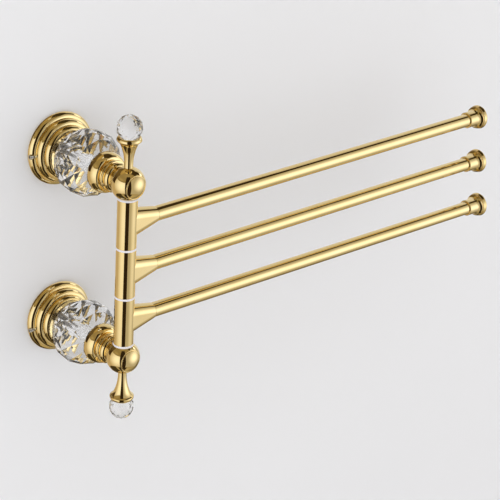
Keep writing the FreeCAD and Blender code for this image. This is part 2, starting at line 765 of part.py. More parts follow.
for thing in doc.Objects:
    if "Invalid" in thing.State or "Error" in thing.State:
        raise RuntimeError(f"{thing.Label} failed to rebuild: {thing.State}")
for piece in pieces:
    if piece.Shape.isNull() or not piece.Shape.isValid() or len(piece.Shape.Solids) != 1:
        raise RuntimeError(f"{piece.Label} isn't one valid solid")
os.makedirs("parts", exist_ok=True)
for piece in pieces:
    piece.Shape.exportStep(f"parts/{piece.Label}.step")
print(f"wrote {len(pieces)} pieces")
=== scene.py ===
import logging
import math
from collections.abc import Sequence
from dataclasses import dataclass, field
from enum import Enum

import bpy
import numpy as np
from mathutils import Matrix, Vector


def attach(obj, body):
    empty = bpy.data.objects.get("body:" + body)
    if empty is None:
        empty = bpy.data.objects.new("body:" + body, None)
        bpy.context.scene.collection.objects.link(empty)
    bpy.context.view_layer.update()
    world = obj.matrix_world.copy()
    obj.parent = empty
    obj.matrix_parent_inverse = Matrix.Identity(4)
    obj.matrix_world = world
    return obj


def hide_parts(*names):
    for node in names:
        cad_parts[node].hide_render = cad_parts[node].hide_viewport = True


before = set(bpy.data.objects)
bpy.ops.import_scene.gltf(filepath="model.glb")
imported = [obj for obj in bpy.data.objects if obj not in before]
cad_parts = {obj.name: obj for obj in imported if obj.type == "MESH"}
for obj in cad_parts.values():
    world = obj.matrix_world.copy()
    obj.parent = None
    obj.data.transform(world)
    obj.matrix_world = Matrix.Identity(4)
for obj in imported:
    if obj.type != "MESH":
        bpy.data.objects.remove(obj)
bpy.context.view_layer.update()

# A wall-mounted towel rack in polished gold plate and cut crystal, with three swinging arms.
# Sizes are in millimetres, in the rack's own frame: the wall is Y = 0, the room is at -Y and Z is up.

LOG = logging.getLogger("towel_rack")
MM = 0.001
# Air between a crystal and its seat, and the cells that welded points share: their size and their shift off
# round numbers
AIR_GAP = 0.05
WELD = 0.001
WELD_SHIFT = 0.37
# Outlines: longest straight step, degrees of one step round an arc, points of a small rounding, its handles
# and the share of an edge that it may use up, and the cosine past which two edges run on smoothly
STRAIGHT_STEP = 10.0
ARC_STEP = 5.0
EASE_POINTS = 7
EASE_HANDLE = 0.5523
EASE_SHARE = 0.45
SMOOTH = 0.999
# The range that holds most of a noise's values
MIDDLE = (0.3, 0.7)
# Columns and rows of a glowing panel's points
PANEL_GRID = (49, 25)
Array = np.ndarray
Piece = bpy.types.Object
Socket = bpy.types.NodeSocket
Palette = dict["Slot", bpy.types.Material]


class Side(Enum):
    """The two wall supports, with the sign of their height."""

    UPPER = 1
    LOWER = -1

    @property
    def word(self) -> str:
        """The side's name as it stands in the names of pieces."""
        return self.name.lower()


class Bend(Enum):
    """Which way an arc of an outline bulges: out of the solid or into it."""

    OUT = 1
    IN = -1


class Slot(Enum):
    """The finishes of the rack, by their slot in the record."""

    GOLD = "gold"
    CRYSTAL = "crystal"
    WASHER = "washer"
    BUSH = "bush"
    GASKET = "gasket"
    PLATE = "plate_steel"
    SPINDLE = "spindle_steel"
    SCREW = "screw_steel"


# Outlines and surfaces

def unit(vectors: Array) -> Array:
    """Vectors scaled to a length of 1."""
    return vectors / np.linalg.norm(vectors, axis=-1, keepdims=True)


def compass(angles: Array) -> Array:
    """Unit vectors (cos a, sin a)."""
    return np.stack((np.cos(angles), np.sin(angles)), axis=-1)


@dataclass(frozen=True)
class Corner:
    """One corner of a turned outline.

    arc is the radius of the arc that leads to the corner, or 0 for a straight edge, and ease is how far the
    corner's small rounding reaches along its two edges.
    """

    radius: float
    height: float
    arc: float = 0.0
    bend: Bend = Bend.OUT
    ease: float = 0.15


class Edge:
    """A straight or round edge between two corners of an outline, walked by its length."""

    def __init__(self, first: Corner, last: Corner) -> None:
        """Measures the edge.

        Args:
            first: The corner that the edge leaves.
            last: The corner that it leads to, which also says how it bends.
        """
        self.start = np.array((first.radius, first.height))
        chord = np.array((last.radius, last.height)) - self.start
        span = float(np.hypot(*chord))
        self.heading = chord / span
        self.arc = last.arc
        self.length = span
        self.step = STRAIGHT_STEP
        if last.arc:
            sign = last.bend.value
            rise = math.sqrt(max(last.arc ** 2 - span ** 2 / 4, 0.0))
            left = np.array((-chord[1], chord[0])) / span
            self.centre = self.start + chord / 2 + sign * rise * left
            self.first = math.atan2(*(self.start - self.centre)[::-1])
            self.turn = sign * 2 * math.asin(min(span / (2 * last.arc), 1.0))
            self.length = last.arc * abs(self.turn)
            self.step = last.arc * math.radians(ARC_STEP)

    def walk(self, distance: Array) -> tuple[Array, Array]:
        """Points and headings at distances along it: start plus heading, or centre plus a turning radius.

        Args:
            distance: Distances from the edge's start.

        Returns:
            The points and the unit headings, one row each.
        """
        if not self.arc:
            points = self.start + distance[:, None] * self.heading
            return points, np.broadcast_to(self.heading, points.shape)
        angle = self.first + self.turn * distance / self.length
        spoke = compass(angle)
        tangent = np.stack((-spoke[:, 1], spoke[:, 0]), axis=1) * np.sign(self.turn)
        return self.centre + self.arc * spoke, tangent

    def stretch(self, head: float, tail: float) -> tuple[Array, Array]:
        """The edge without its two trimmed ends.

        Args:
            head: Length that is left off at the start.
            tail: Length that is left off at the end.

        Returns:
            Points and headings, close enough together for the edge's bend.
        """
        count = max(2, math.ceil((self.length - head - tail) / self.step) + 1)
        return self.walk(np.linspace(head, self.length - tail, count))


def eased(start: Array, leaving: Array, end: Array, arriving: Array, reach: float) -> tuple[Array, Array]:
    """A small rounding: the cubic curve from start to end whose handles follow the two edges.

    Args:
        start: Where the rounding leaves the first edge.
        leaving: The first edge's heading there.
        end: Where it meets the second edge.
        arriving: The second edge's heading there.
        reach: Length of the rounding along each edge.

    Returns:
        Points and headings between the two ends, without them.
    """
    share = np.linspace(0.0, 1.0, EASE_POINTS)[1:-1, None]
    handle = EASE_HANDLE * reach
    knots = (start, start + handle * leaving, end - handle * arriving, end)
    rest = 1 - share
    weights = (rest ** 3, 3 * rest ** 2 * share, 3 * rest * share ** 2, share ** 3)
    points = sum(weight * knot for weight, knot in zip(weights, knots))
    slopes = (rest ** 2, 2 * rest * share, share ** 2)
    way = sum(slope * (after - before) for slope, before, after in zip(slopes, knots, knots[1:]))
    return points, unit(way)


def trace(corners: Sequence[Corner], closed: bool = True) -> tuple[Array, Array]:
    """Walks an outline counter-clockwise, with the solid on its left.

    Args:
        corners: The outline's corners.
        closed: Whether the last corner leads back to the first.

    Returns:
        Points (radius, height) and the outward normals there, one row each.
    """
    count = len(corners)
    edges = [Edge(corners[index - 1], corners[index]) for index in range(count)]
    trims = []
    for index, corner in enumerate(corners):
        before, after = edges[index], edges[(index + 1) % count]
        smooth = before.walk(np.array([before.length]))[1] @ after.walk(np.zeros(1))[1].T > SMOOTH
        at_end = not closed and index in (0, count - 1)
        room = EASE_SHARE * min(before.length, after.length)
        trims.append(0.0 if smooth or at_end else min(corner.ease, room))
    runs = []
    for index in range(0 if closed else 1, count):
        edge, after = edges[index], edges[(index + 1) % count]
        points, headings = edge.stretch(trims[index - 1], trims[index])
        runs.append((points, headings))
        if trims[index]:
            onward = after.walk(np.array([trims[index]]))
            runs.append(eased(points[-1], headings[-1], onward[0][0], onward[1][0], trims[index]))
    if closed:
        runs.append((runs[0][0][:1], runs[0][1][:1]))
    points = np.concatenate([run[0] for run in runs])
    headings = np.concatenate([run[1] for run in runs])
    fresh = np.append(True, np.hypot(*np.diff(points, axis=0).T) > WELD)
    points, headings = points[fresh], headings[fresh]
    return points, np.stack((headings[:, 1], -headings[:, 0]), axis=1)


def arc_over(spread: float, rise: float) -> float:
    """Radius of an arc with a spread over a rise: (spread squared + rise squared) / (2 spread)."""
    return (spread ** 2 + rise ** 2) / (2 * spread)


def grid_cells(rows: int, columns: int) -> Array:
    """The four-sided cells of a grid of points, as the numbers of their corners."""
    index = np.arange(rows * columns).reshape(rows, columns)
    return np.stack((index[:-1, :-1], index[:-1, 1:], index[1:, 1:], index[1:, :-1]), axis=-1)


def spin(points: Array, normals: Array, angles: Array) -> tuple[Array, Array]:
    """Turns an outline about Z: each point is (radius cos a, radius sin a, height).

    Args:
        points: The outline's (radius, height) rows.
        normals: The outline's outward normals.
        angles: The turned columns' angles.

    Returns:
        A grid of points and one of normals, rows along the outline and columns around.
    """
    around = np.column_stack((compass(angles), np.ones_like(angles)))
    return points[:, None, [0, 0, 1]] * around, normals[:, None, [0, 0, 1]] * around


class Shell:
    """Surface patches that are welded into one mesh and keep their own exact normals."""

    def __init__(self) -> None:
        """Starts with no patches."""
        self.points: list[Array] = []
        self.normals: list[Array] = []
        self.faces: list[Array] = []
        self.count = 0

    def add(self, points: Array, normals: Array, faces: Array) -> None:
        """Adds a patch, wound so that its faces look the way of its normals."""
        first, second, third = (points[faces[:, corner]] for corner in (0, 1, 2))
        looks = np.cross(second - first, third - first)
        if np.sum(looks * normals[faces[:, 0]]) < 0:
            faces = faces[:, ::-1]
        self.points.append(points)
        self.normals.append(normals)
        self.faces.append(faces + self.count)
        self.count += len(points)

    def sheet(self, points: Array, normals: Array, kept: Array | None = None) -> None:
        """Adds a grid of four-sided cells.

        Args:
            points: A grid of points.
            normals: The normals at those points.
            kept: Which cells stay, or None for all of them.
        """
        cells = grid_cells(*points.shape[:2])
        faces = cells.reshape(-1, 4) if kept is None else cells[kept]
        self.add(points.reshape(-1, 3), normals.reshape(-1, 3), faces)

    def facets(self, corners: Array) -> None:
        """Adds flat triangles that face away from the shell's own Z axis or along it.

        Args:
            corners: The triangles' corners, three rows of X, Y, Z each.
        """
        looks = np.cross(corners[:, 1] - corners[:, 0], corners[:, 2] - corners[:, 0])
        middle = corners.mean(axis=1)
        height = middle[:, 2] - (corners[..., 2].min() + corners[..., 2].max()) / 2
        outward = np.column_stack((middle[:, :2], height))
        inward = np.sum(looks * outward, axis=1) < 0
        corners = np.where(inward[:, None, None], corners[:, ::-1], corners)
        looks = unit(np.where(inward[:, None], -looks, looks))
        faces = np.arange(3 * len(corners)).reshape(-1, 3)[:, [0, 1, 2, 2]]
        self.add(corners.reshape(-1, 3), np.repeat(looks, 3, axis=0), faces)

    def make(self, name: str, place: Matrix) -> Piece:
        """Welds the patches, puts them in their place and makes the mesh.

        Args:
            name: The piece's name.
            place: Where the shell's own frame stands in the rack's, in millimetres.

        Returns:
            The piece's object, at the origin, with its place in its mesh.
        """
        turn = np.array(place.to_3x3())
        points = np.concatenate(self.points)
        normals = np.concatenate(self.normals) @ turn.T
        faces = np.concatenate(self.faces)
        cells = np.floor(points / WELD + WELD_SHIFT)
        _, first, weld = np.unique(cells, axis=0, return_index=True, return_inverse=True)
        corners = weld.reshape(-1)[faces]
        kept = corners != np.roll(corners, -1, axis=1)
        whole = kept.sum(axis=1) > 2
        kept &= whole[:, None]
        sizes = kept.sum(axis=1)[whole]
        placed = (points[first] @ turn.T + np.array(place.translation)) * MM
        mesh = bpy.data.meshes.new(name)
        mesh.vertices.add(len(placed))
        mesh.vertices.foreach_set("co", placed.astype(np.float32).ravel())
        mesh.loops.add(int(sizes.sum()))
        mesh.loops.foreach_set("vertex_index", corners[kept].astype(np.int32))
        mesh.polygons.add(len(sizes))
        mesh.polygons.foreach_set("loop_start", np.append(0, np.cumsum(sizes)[:-1]).astype(np.int32))
        mesh.polygons.foreach_set("use_smooth", np.ones(len(sizes), dtype=bool))
        mesh.update(calc_edges=True)
        mesh.normals_split_custom_set(normals[faces][kept].tolist())
        piece = bpy.data.objects.new(name, mesh)
        bpy.context.scene.collection.objects.link(piece)
        return piece


def turned(
    name: str, corners: Sequence[Corner], place: Matrix, closed: bool = True, columns: int = 128
) -> Piece:
    """A piece turned from one outline.

    Args:
        name: The piece's name.
        corners: The outline.
        place: Where the piece stands.
        closed: Whether the outline closes on itself, or runs from the axis to the axis.
        columns: Number of columns around.

    Returns:
        The piece's object.
    """
    shell = Shell()
    shell.sheet(*spin(*trace(corners, closed), np.linspace(0.0, 2 * math.pi, columns + 1)))
    return shell.make(name, place)


def rectangle(across: Array, upward: Array) -> Array:
    """The loop around a rectangle, counter-clockwise from its lower left corner and back to it.

    Args:
        across: Places along its floor, as far to the left as to the right.
        upward: Places up its sides.

    Returns:
        The loop's points, the first one repeated at the end.
    """
    floor = np.stack((across, np.full_like(across, upward[0])), axis=1)
    wall = np.stack((np.full_like(upward, across[-1]), upward), axis=1)
    ceiling = np.stack((across[::-1], np.full_like(across, upward[-1])), axis=1)
    return np.concatenate((floor[:-1], wall[:-1], ceiling[:-1], wall[::-1] * (-1.0, 1.0)))


def collared(frame_loop: Array, hole_loop: Array, steps: int) -> tuple[Array, Array]:
    """A patch between a hole and the frame around it, on flat parameters: straight lines from hole to frame.

    Args:
        frame_loop: The frame's points, counter-clockwise, the first one repeated at the end.
        hole_loop: Points of the hole's outline, counter-clockwise and close together.
        steps: Number of cells from the hole to the frame.

    Returns:
        A grid of parameters, from the hole outwards, and where each column starts along the hole's outline,
        as a share of its points.
    """
    bearing = np.unwrap(np.arctan2(hole_loop[:, 1], hole_loop[:, 0]))
    wanted = np.arctan2(frame_loop[:, 1], frame_loop[:, 0])
    wanted = (wanted - bearing[0]) % (2 * math.pi) + bearing[0]
    index = np.arange(len(bearing))
    start = np.interp(wanted, bearing, index)
    hole = np.stack([np.interp(start, index, places) for places in hole_loop.T], axis=1)
    share = np.linspace(0.0, 1.0, steps + 1)[:, None, None]
    return hole + share * (frame_loop - hole), start


def crown_rows(radius: float, ends: tuple[float, float], length: float, count: int) -> Array:
    """Rows (radius, height) of an elliptical barrel cut off at two end radii: r cos t, half-length sin t.

    The end faces stop a hair short, so that there is air between the crystal and its seat.

    Args:
        radius: The barrel's greatest radius.
        ends: The radii of its two end faces.
        length: Its length.
        count: Number of rows.

    Returns:
        The rows, from height 0 to the length.
    """
    first, last = -math.acos(ends[0] / radius), math.acos(ends[1] / radius)
    half = length / (math.sin(last) - math.sin(first))
    turn = np.linspace(first, last, count)
    height = half * (np.sin(turn) - math.sin(first))
    return np.stack((radius * np.cos(turn), height.clip(AIR_GAP, length - AIR_GAP)), axis=1)


def cut_facets(rows: Array, facets: int) -> tuple[Array, Array]:
    """Triangular facets over rows of spokes, each row turned half a facet from the last.

    Args:
        rows: The rows' radii and heights.
        facets: Number of facets around.

    Returns:
        The triangles' corners, and the rings of points that they stand on.
    """
    spoke = np.arange(facets)
    angle = (spoke[None] + np.arange(len(rows))[:, None] % 2 / 2) * 2 * math.pi / facets
    height = np.broadcast_to(rows[:, None, 1:], (*angle.shape, 1))
    rings = np.concatenate((rows[:, None, :1] * compass(angle), height), axis=-1)
    after = (spoke + 1) % facets
    level = np.arange(len(rows) - 1)[:, None]
    even = level % 2 == 0
    low, high = rings[:-1], rings[1:]
    standing = np.stack((low, low[:, after], high[level, np.where(even, spoke, after)]), axis=2)
    hanging = np.stack((high, high[:, after], low[level, np.where(even, after, spoke)]), axis=2)
    return np.concatenate((standing.reshape(-1, 3, 3), hanging.reshape(-1, 3, 3))), rings


# Finishes

class Wiring:
    """A node tree that is being wired."""

    def __init__(self, tree: bpy.types.NodeTree) -> None:
        """Takes up a tree."""
        self.tree = tree

    def fill(self, node: bpy.types.Node, sockets: dict) -> None:
        """Sets a node's inputs, by name or number, to plain values or links them to other nodes' outputs."""
        for key, value in sockets.items():
            if isinstance(value, Socket):
                self.tree.links.new(value, node.inputs[key])
            else:
                node.inputs[key].default_value = value

    def add(self, kind: str, sockets: dict | None = None, output: int | str = 0, **options: str) -> Socket:
        """Adds a node.

        Args:
            kind: The node's type, without its first word.
            sockets: Values or sources of its inputs.
            output: Which of its outputs is wanted.
            options: Its own choices.

        Returns:
            That output.
        """
        node = self.tree.nodes.new(f"ShaderNode{kind}")
        for option, choice in options.items():
            setattr(node, option, choice)
        self.fill(node, sockets or {})
        return node.outputs[output]


class Recipe(Wiring):
    """A material under construction: a principled surface and the patterns that feed it."""

    def __init__(self, name: str) -> None:
        """Starts the material with an empty surface."""
        self.material = bpy.data.materials.new(name)
        self.material.use_nodes = True
        super().__init__(self.material.node_tree)
        self.surface = self.tree.nodes["Principled BSDF"]
        self.end = self.tree.nodes["Material Output"]
        self.place = self.add("TexCoord", output="Object")

    def feed(self, **sockets: float | tuple | Socket) -> None:
        """Gives the surface plain values or patterns, by socket name with _ for a space."""
        self.fill(self.surface, {name.replace("_", " "): value for name, value in sockets.items()})

    def noise(self, lumps: float, layers: float, stretch: tuple = (1.0, 1.0, 1.0)) -> Socket:
        """A soft noise over the piece.

        Args:
            lumps: Number of lumps per metre.
            layers: Number of finer layers.
            stretch: Scale along each axis.

        Returns:
            The noise's value.
        """
        mapped = self.add("Mapping", {"Vector": self.place, "Scale": stretch})
        return self.add("TexNoise", {"Vector": mapped, "Scale": lumps, "Detail": layers})

    def thread(self, pitch: float) -> Socket:
        """Ridges across Y, as on a threaded rod. The wave's bands come pi / 10 apart at a scale of 1."""
        sockets = {"Vector": self.place, "Scale": math.pi / (10.0 * pitch)}
        return self.add("TexWave", sockets, "Fac", bands_direction="Y", wave_profile="TRI")

    def spread(self, source: Socket, low: float, high: float) -> Socket:
        """Spreads the middle of a noise over a range."""
        span = {"From Min": MIDDLE[0], "From Max": MIDDLE[1], "To Min": low, "To Max": high}
        return self.add("MapRange", {"Value": source, **span})

    def tint(self, source: Socket, low: tuple, high: tuple) -> None:
        """Colours the surface between two colours."""
        colour = self.add("ValToRGB", {"Fac": source})
        for element, position, tone in zip(colour.node.color_ramp.elements, MIDDLE, (low, high)):
            element.position = position
            element.color = (*tone, 1.0)
        self.feed(Base_Color=colour)

    def relief(self, source: Socket, depth: float, strength: float = 1.0) -> None:
        """Raises the surface with a pattern, by a depth in metres and the share of it that shows."""
        self.feed(Normal=self.add("Bump", {"Height": source, "Distance": depth, "Strength": strength}))


@dataclass(frozen=True)
class Finish:
    """A finish whose colour, gloss and relief vary a little over the piece.

    plain holds the surface's plain values. Each grain is one noise's lumps per metre and its finer layers,
    which marks stretches along the axes. relief is the depth in metres and the share of it that shows.
    """

    name: str
    pale: tuple
    deep: tuple
    gloss: tuple
    plain: tuple = (("Metallic", 1.0),)
    colour_grain: tuple = (400.0, 4.0)
    gloss_grain: tuple = (400.0, 4.0)
    relief_grain: tuple = (400.0, 4.0)
    relief: tuple = ()
    marks: tuple = (1.0, 1.0, 1.0)

    def recipe(self) -> Recipe:
        """Mixes the finish."""
        recipe = Recipe(self.name)
        recipe.feed(**dict(self.plain))
        recipe.tint(recipe.noise(*self.colour_grain, self.marks), self.deep, self.pale)
        shine = recipe.noise(*self.gloss_grain, self.marks)
        recipe.feed(Roughness=recipe.spread(shine, *self.gloss))
        if self.relief:
            recipe.relief(recipe.noise(*self.relief_grain, self.marks), *self.relief)
        return recipe

    def material(self) -> bpy.types.Material:
        """The mixed finish, ready for a piece."""
        return self.recipe().material


@dataclass(frozen=True)
class GoldPlate(Finish):
    """Polished brass under gold plate: clean mirror shine, with faint haze and polishing ripple."""

    name: str = "gold_plate"
    pale: tuple = (0.94, 0.77, 0.42)
    deep: tuple = (0.90, 0.72, 0.365)
    gloss: tuple = (0.03, 0.07)
    colour_grain: tuple = (45.0, 3.0)
    gloss_grain: tuple = (160.0, 5.0)
    relief_grain: tuple = (90.0, 1.0)
    relief: tuple = (0.00002, 0.4)


@dataclass(frozen=True)
class CutCrystal(Finish):
    """Clear cut crystal, polished on every facet."""

    name: str = "cut_crystal"
    pale: tuple = (1.0, 1.0, 1.0)
    deep: tuple = (0.97, 0.975, 0.99)
    gloss: tuple = (0.0, 0.012)
    plain: tuple = (("Transmission_Weight", 0.97), ("IOR", 1.50))
    colour_grain: tuple = (60.0, 3.0)
    gloss_grain: tuple = (120.0, 3.0)


@dataclass(frozen=True)
class Moulding(Finish):
    """Moulded plastic, with a faint mottle and a fine satin grain."""

    gloss: tuple = (0.38, 0.52)
    plain: tuple = (("Specular_IOR_Level", 0.45),)
    colour_grain: tuple = (220.0, 3.0)
    gloss_grain: tuple = (500.0, 3.0)
    relief_grain: tuple = (2500.0, 3.0)
    relief: tuple = (0.00002, 0.5)


@dataclass(frozen=True)
class Steel(Finish):
    """Plated or ground steel, with marks that may run along one axis."""

    gloss: tuple = (0.22, 0.38)
    relief: tuple = (0.00001, 0.5)


@dataclass(frozen=True)
class ThreadedSteel(Steel):
    """Steel with a thread, by its pitch in metres and its depth as a share of the pitch."""

    relief: tuple = ()
    pitch: float = 0.00125
    depth: float = 0.6

    def recipe(self) -> Recipe:
        """Mixes the steel and cuts the thread."""
        recipe = super().recipe()
        recipe.relief(recipe.thread(self.pitch), self.depth * self.pitch)
        return recipe


@dataclass(frozen=True)
class Paint:
    """Plain matt paint, very faintly uneven: shade is the share of its tone that the darker patches keep."""

    name: str
    tone: tuple
    gloss: float = 0.7
    shine: float = 0.2
    grain: tuple = (3.0, 2.0)
    shade: float = 0.985

    def recipe(self) -> Recipe:
        """Mixes the paint."""
        recipe = Recipe(self.name)
        recipe.feed(Roughness=self.gloss, Specular_IOR_Level=self.shine)
        recipe.tint(recipe.noise(*self.grain), tuple(part * self.shade for part in self.tone), self.tone)
        return recipe


def mix_palette() -> Palette:
    """Makes every finish once, by its slot."""
    finishes = {
        Slot.GOLD: GoldPlate(),
        Slot.CRYSTAL: CutCrystal(),
        Slot.WASHER: Moulding("washer_plastic", (0.87, 0.85, 0.91), (0.80, 0.78, 0.85)),
        Slot.BUSH: Moulding("bush_plastic", (0.90, 0.90, 0.87), (0.84, 0.84, 0.81)),
        Slot.GASKET: Steel("gasket_foil", (0.90, 0.89, 0.88), (0.82, 0.81, 0.80), (0.10, 0.22)),
        Slot.PLATE: Steel("plated_steel", (0.72, 0.72, 0.74), (0.60, 0.61, 0.63), marks=(1.0, 1.0, 6.0)),
        Slot.SPINDLE: Steel("ground_steel", (0.74, 0.74, 0.75), (0.66, 0.66, 0.68), marks=(1.0, 1.0, 9.0)),
        Slot.SCREW: Steel("screw_steel", (0.82, 0.83, 0.85), (0.70, 0.71, 0.73), (0.12, 0.25)),
    }
    return {slot: finish.material() for slot, finish in finishes.items()}


def dress(piece: Piece, palette: Palette, slot: Slot, body: str, node: str) -> None:
    """Gives a piece its finish and its body, and puts it in the place of its CAD node.

    Args:
        piece: The new piece.
        palette: The finishes.
        slot: The piece's finish.
        body: The CAD body that it rides on.
        node: The CAD node that it stands for.
    """
    piece.data.materials.append(palette[slot])
    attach(piece, body)
    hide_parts(node)
    LOG.info("%s stands for %s on %s, with %d faces", piece.name, node, body, len(piece.data.polygons))


# Places

STAND_OFF = 89.6532
BALL_HEIGHT = 74.1982
ROOT = "wall_frame"


def on_support(side: Side, distance: float, turn: float = 0.0) -> Matrix:
    """A place on a support's axis, whose own Z points away from the wall.

    Args:
        side: Which support.
        distance: Distance from the wall.
        turn: Angle about that axis, in degrees.

    Returns:
        The place, in millimetres.
    """
    centre = Matrix.Translation((0.0, -distance, side.value * BALL_HEIGHT))
    spun = Matrix.Rotation(math.radians(turn), 4, "Z")
    return centre @ Matrix.Rotation(math.pi / 2, 4, "X") @ spun


def on_spindle(height: float, side: Side = Side.UPPER) -> Matrix:
    """A place on the spindle's axis, upside down for the lower side.

    Args:
        height: Height from the middle of the spindle, on the side's own way.
        side: Which way is up.

    Returns:
        The place, in millimetres.
    """
    flip = Matrix.Rotation(0.0 if side is Side.UPPER else math.pi, 4, "X")
    return Matrix.Translation((0.0, -STAND_OFF, side.value * height)) @ flip


# Wall supports

@dataclass
class WallSupport:
    """One wall support: the beaded rosette, its grub screw, the crystal bulb and the collar in front of it.

    window is the range of heights in which the rosette's grid is opened around the screw's hole, window_cells
    its columns on either side and the steps of its patch. rim_margin tells the rim from the next bead.
    """

    side: Side
    grub_turn: float
    rings: tuple = ((30.2, 6.5, 4.4), (26.2, 6.0, 4.3), (22.0, 4.5, 3.7))
    lip: float = 0.8
    rosette_wall: float = 1.4
    plate_depth: float = 5.3
    rod_hole: float = 4.05
    rosette_columns: int = 160
    rim_margin: float = 0.5
    window: tuple = (1.3, 8.0)
    window_cells: tuple = (7, 24)
    hole_points: int = 200
    grub_height: float = 4.6
    grub_hole: float = 2.05
    grub_radius: float = 2.0
    grub_tip: float = 24.1
    grub_head: float = 31.0
    grub_gap: float = 0.1
    grub_chamfer: float = 0.5
    grub_columns: int = 96
    socket_radius: float = 1.1
    socket_depth: float = 2.0
    socket_rim: float = 1.35
    socket_lead: float = 0.15
    drill_point: float = 0.4
    bulb_base: float = 17.8
    bulb_radius: float = 27.2
    bulb_ends: tuple = (16.0, 16.4)
    bulb_length: float = 41.2
    bulb_facets: int = 12
    bulb_rows: int = 6
    bulb_bore: float = 4.3
    bore_steps: int = 4
    collar_base: float = 59.8
    collar_length: float = 19.4
    cup_radius: float = 16.4
    cup_side: float = 3.0
    cup_curve: tuple = (2.4, 6.0)
    collar_face: float = 0.6
    collar_waist: tuple = (11.4, 2.6)
    collar_ring: tuple = (12.9, 1.5)
    collar_groove: float = 0.6
    collar_bead: tuple = (1.3, 1.4, 3.1)
    collar_neck: float = 8.7
    ball_radius: float = 13.6

    def name(self, piece: str) -> str:
        """A piece's name with the side's word."""
        return f"{piece}_{self.side.word}"

    def node(self, piece: str) -> str:
        """The CAD node that a piece stands for."""
        return f"{self.side.word}_{piece}"

    def rosette_outline(self) -> list[Corner]:
        """The rosette's outline: three rounded beads outside, three steps inside.

        Returns:
            The corners, counter-clockwise.
        """
        shoulders = [radius - bead for radius, _, bead in self.rings]
        bores = [shoulder - self.rosette_wall for shoulder in shoulders]
        tops = np.cumsum([height for _, height, _ in self.rings])
        corners = [Corner(bores[0], 0.0)]
        for (radius, height, bead), top, shoulder in zip(self.rings, tops, shoulders):
            corners.append(Corner(radius - self.lip, top - height))
            corners.append(Corner(radius, top - bead, arc_over(self.lip, height - bead)))
            corners.append(Corner(shoulder, top, bead))
        depths = (self.plate_depth, tops[1] - self.rosette_wall, tops[2] - self.rosette_wall)
        corners += [Corner(self.rod_hole, tops[2]), Corner(self.rod_hole, depths[2])]
        corners += [Corner(bores[2], depths[2]), Corner(bores[2], depths[1])]
        corners += [Corner(bores[1], depths[1]), Corner(bores[1], depths[0]), Corner(bores[0], depths[0])]
        return corners

    def rosette(self) -> Piece:
        """The rosette, a turned shell whose rim is opened by the grub screw's hole.

        The rim is cut where a point's offset from the hole's axis, across and along the wall, is under its
        radius. A patch joins that edge to the turned grid around it.

        Returns:
            The piece's object.
        """
        columns = self.rosette_columns
        reach, steps = self.window_cells
        points, normals = trace(self.rosette_outline())
        walked = np.append(0.0, np.cumsum(np.hypot(*np.diff(points, axis=0).T)))
        angles = np.linspace(0.0, 2 * math.pi, columns + 1)
        rim = np.flatnonzero(points[:, 0] > self.rings[1][0] - self.lip - self.rim_margin)
        low, high = rim[np.searchsorted(points[rim, 1], self.window)]
        middle = columns // 2
        kept = np.ones((len(points) - 1, columns), dtype=bool)
        kept[low:high, middle - reach:middle + reach] = False
        shell = Shell()
        shell.sheet(*spin(points, normals, angles), kept)

        stretch = walked[low:high + 1]
        radius, height = points[low:high + 1].T
        scale = self.rings[0][0]
        centre = np.interp(self.grub_height, height, stretch)
        bottom, top = self.grub_height - self.grub_hole, self.grub_height + self.grub_hole
        along = np.linspace(*np.interp((bottom, top), height, stretch), self.hole_points)
        drop = np.interp(along, stretch, height) - self.grub_height
        aside = np.sqrt(np.maximum(self.grub_hole ** 2 - drop ** 2, 0.0))
        across = np.arcsin(aside / np.interp(along, stretch, radius))
        edge = np.stack((across * scale, along - centre), axis=1)
        hole = np.concatenate((edge, edge[-2::-1] * (-1.0, 1.0)))
        sides = (angles[middle - reach:middle + reach + 1] - math.pi) * scale
        flat, _ = collared(rectangle(sides, stretch - centre), hole, steps)
        place = flat[..., 1] + centre
        around = flat[..., 0] / scale + math.pi
        spots = [np.interp(place, walked, values) for values in (*points.T, *normals.T)]
        spokes = compass(around)
        grid = np.concatenate((spots[0][..., None] * spokes, spots[1][..., None]), axis=-1)
        facing = np.concatenate((spots[2][..., None] * spokes, spots[3][..., None]), axis=-1)
        shell.sheet(grid, unit(facing))

        mouth = grid[0]
        inner = mouth.copy()
        inner[:, 0] = -self.grub_tip - self.grub_gap
        inwards = np.zeros_like(mouth)
        inwards[:, 1:] = -(mouth[:, 1:] - (0.0, self.grub_height)) / self.grub_hole
        shell.sheet(np.stack((mouth, inner)), np.stack((inwards, inwards)))
        floor_middle = np.broadcast_to((inner[0, 0], 0.0, self.grub_height), inner.shape)
        shell.sheet(np.stack((inner, floor_middle)), np.broadcast_to((-1.0, 0.0, 0.0), (2, *inner.shape)))
        return shell.make(self.name("rosette"), on_support(self.side, 0.0, self.grub_turn))

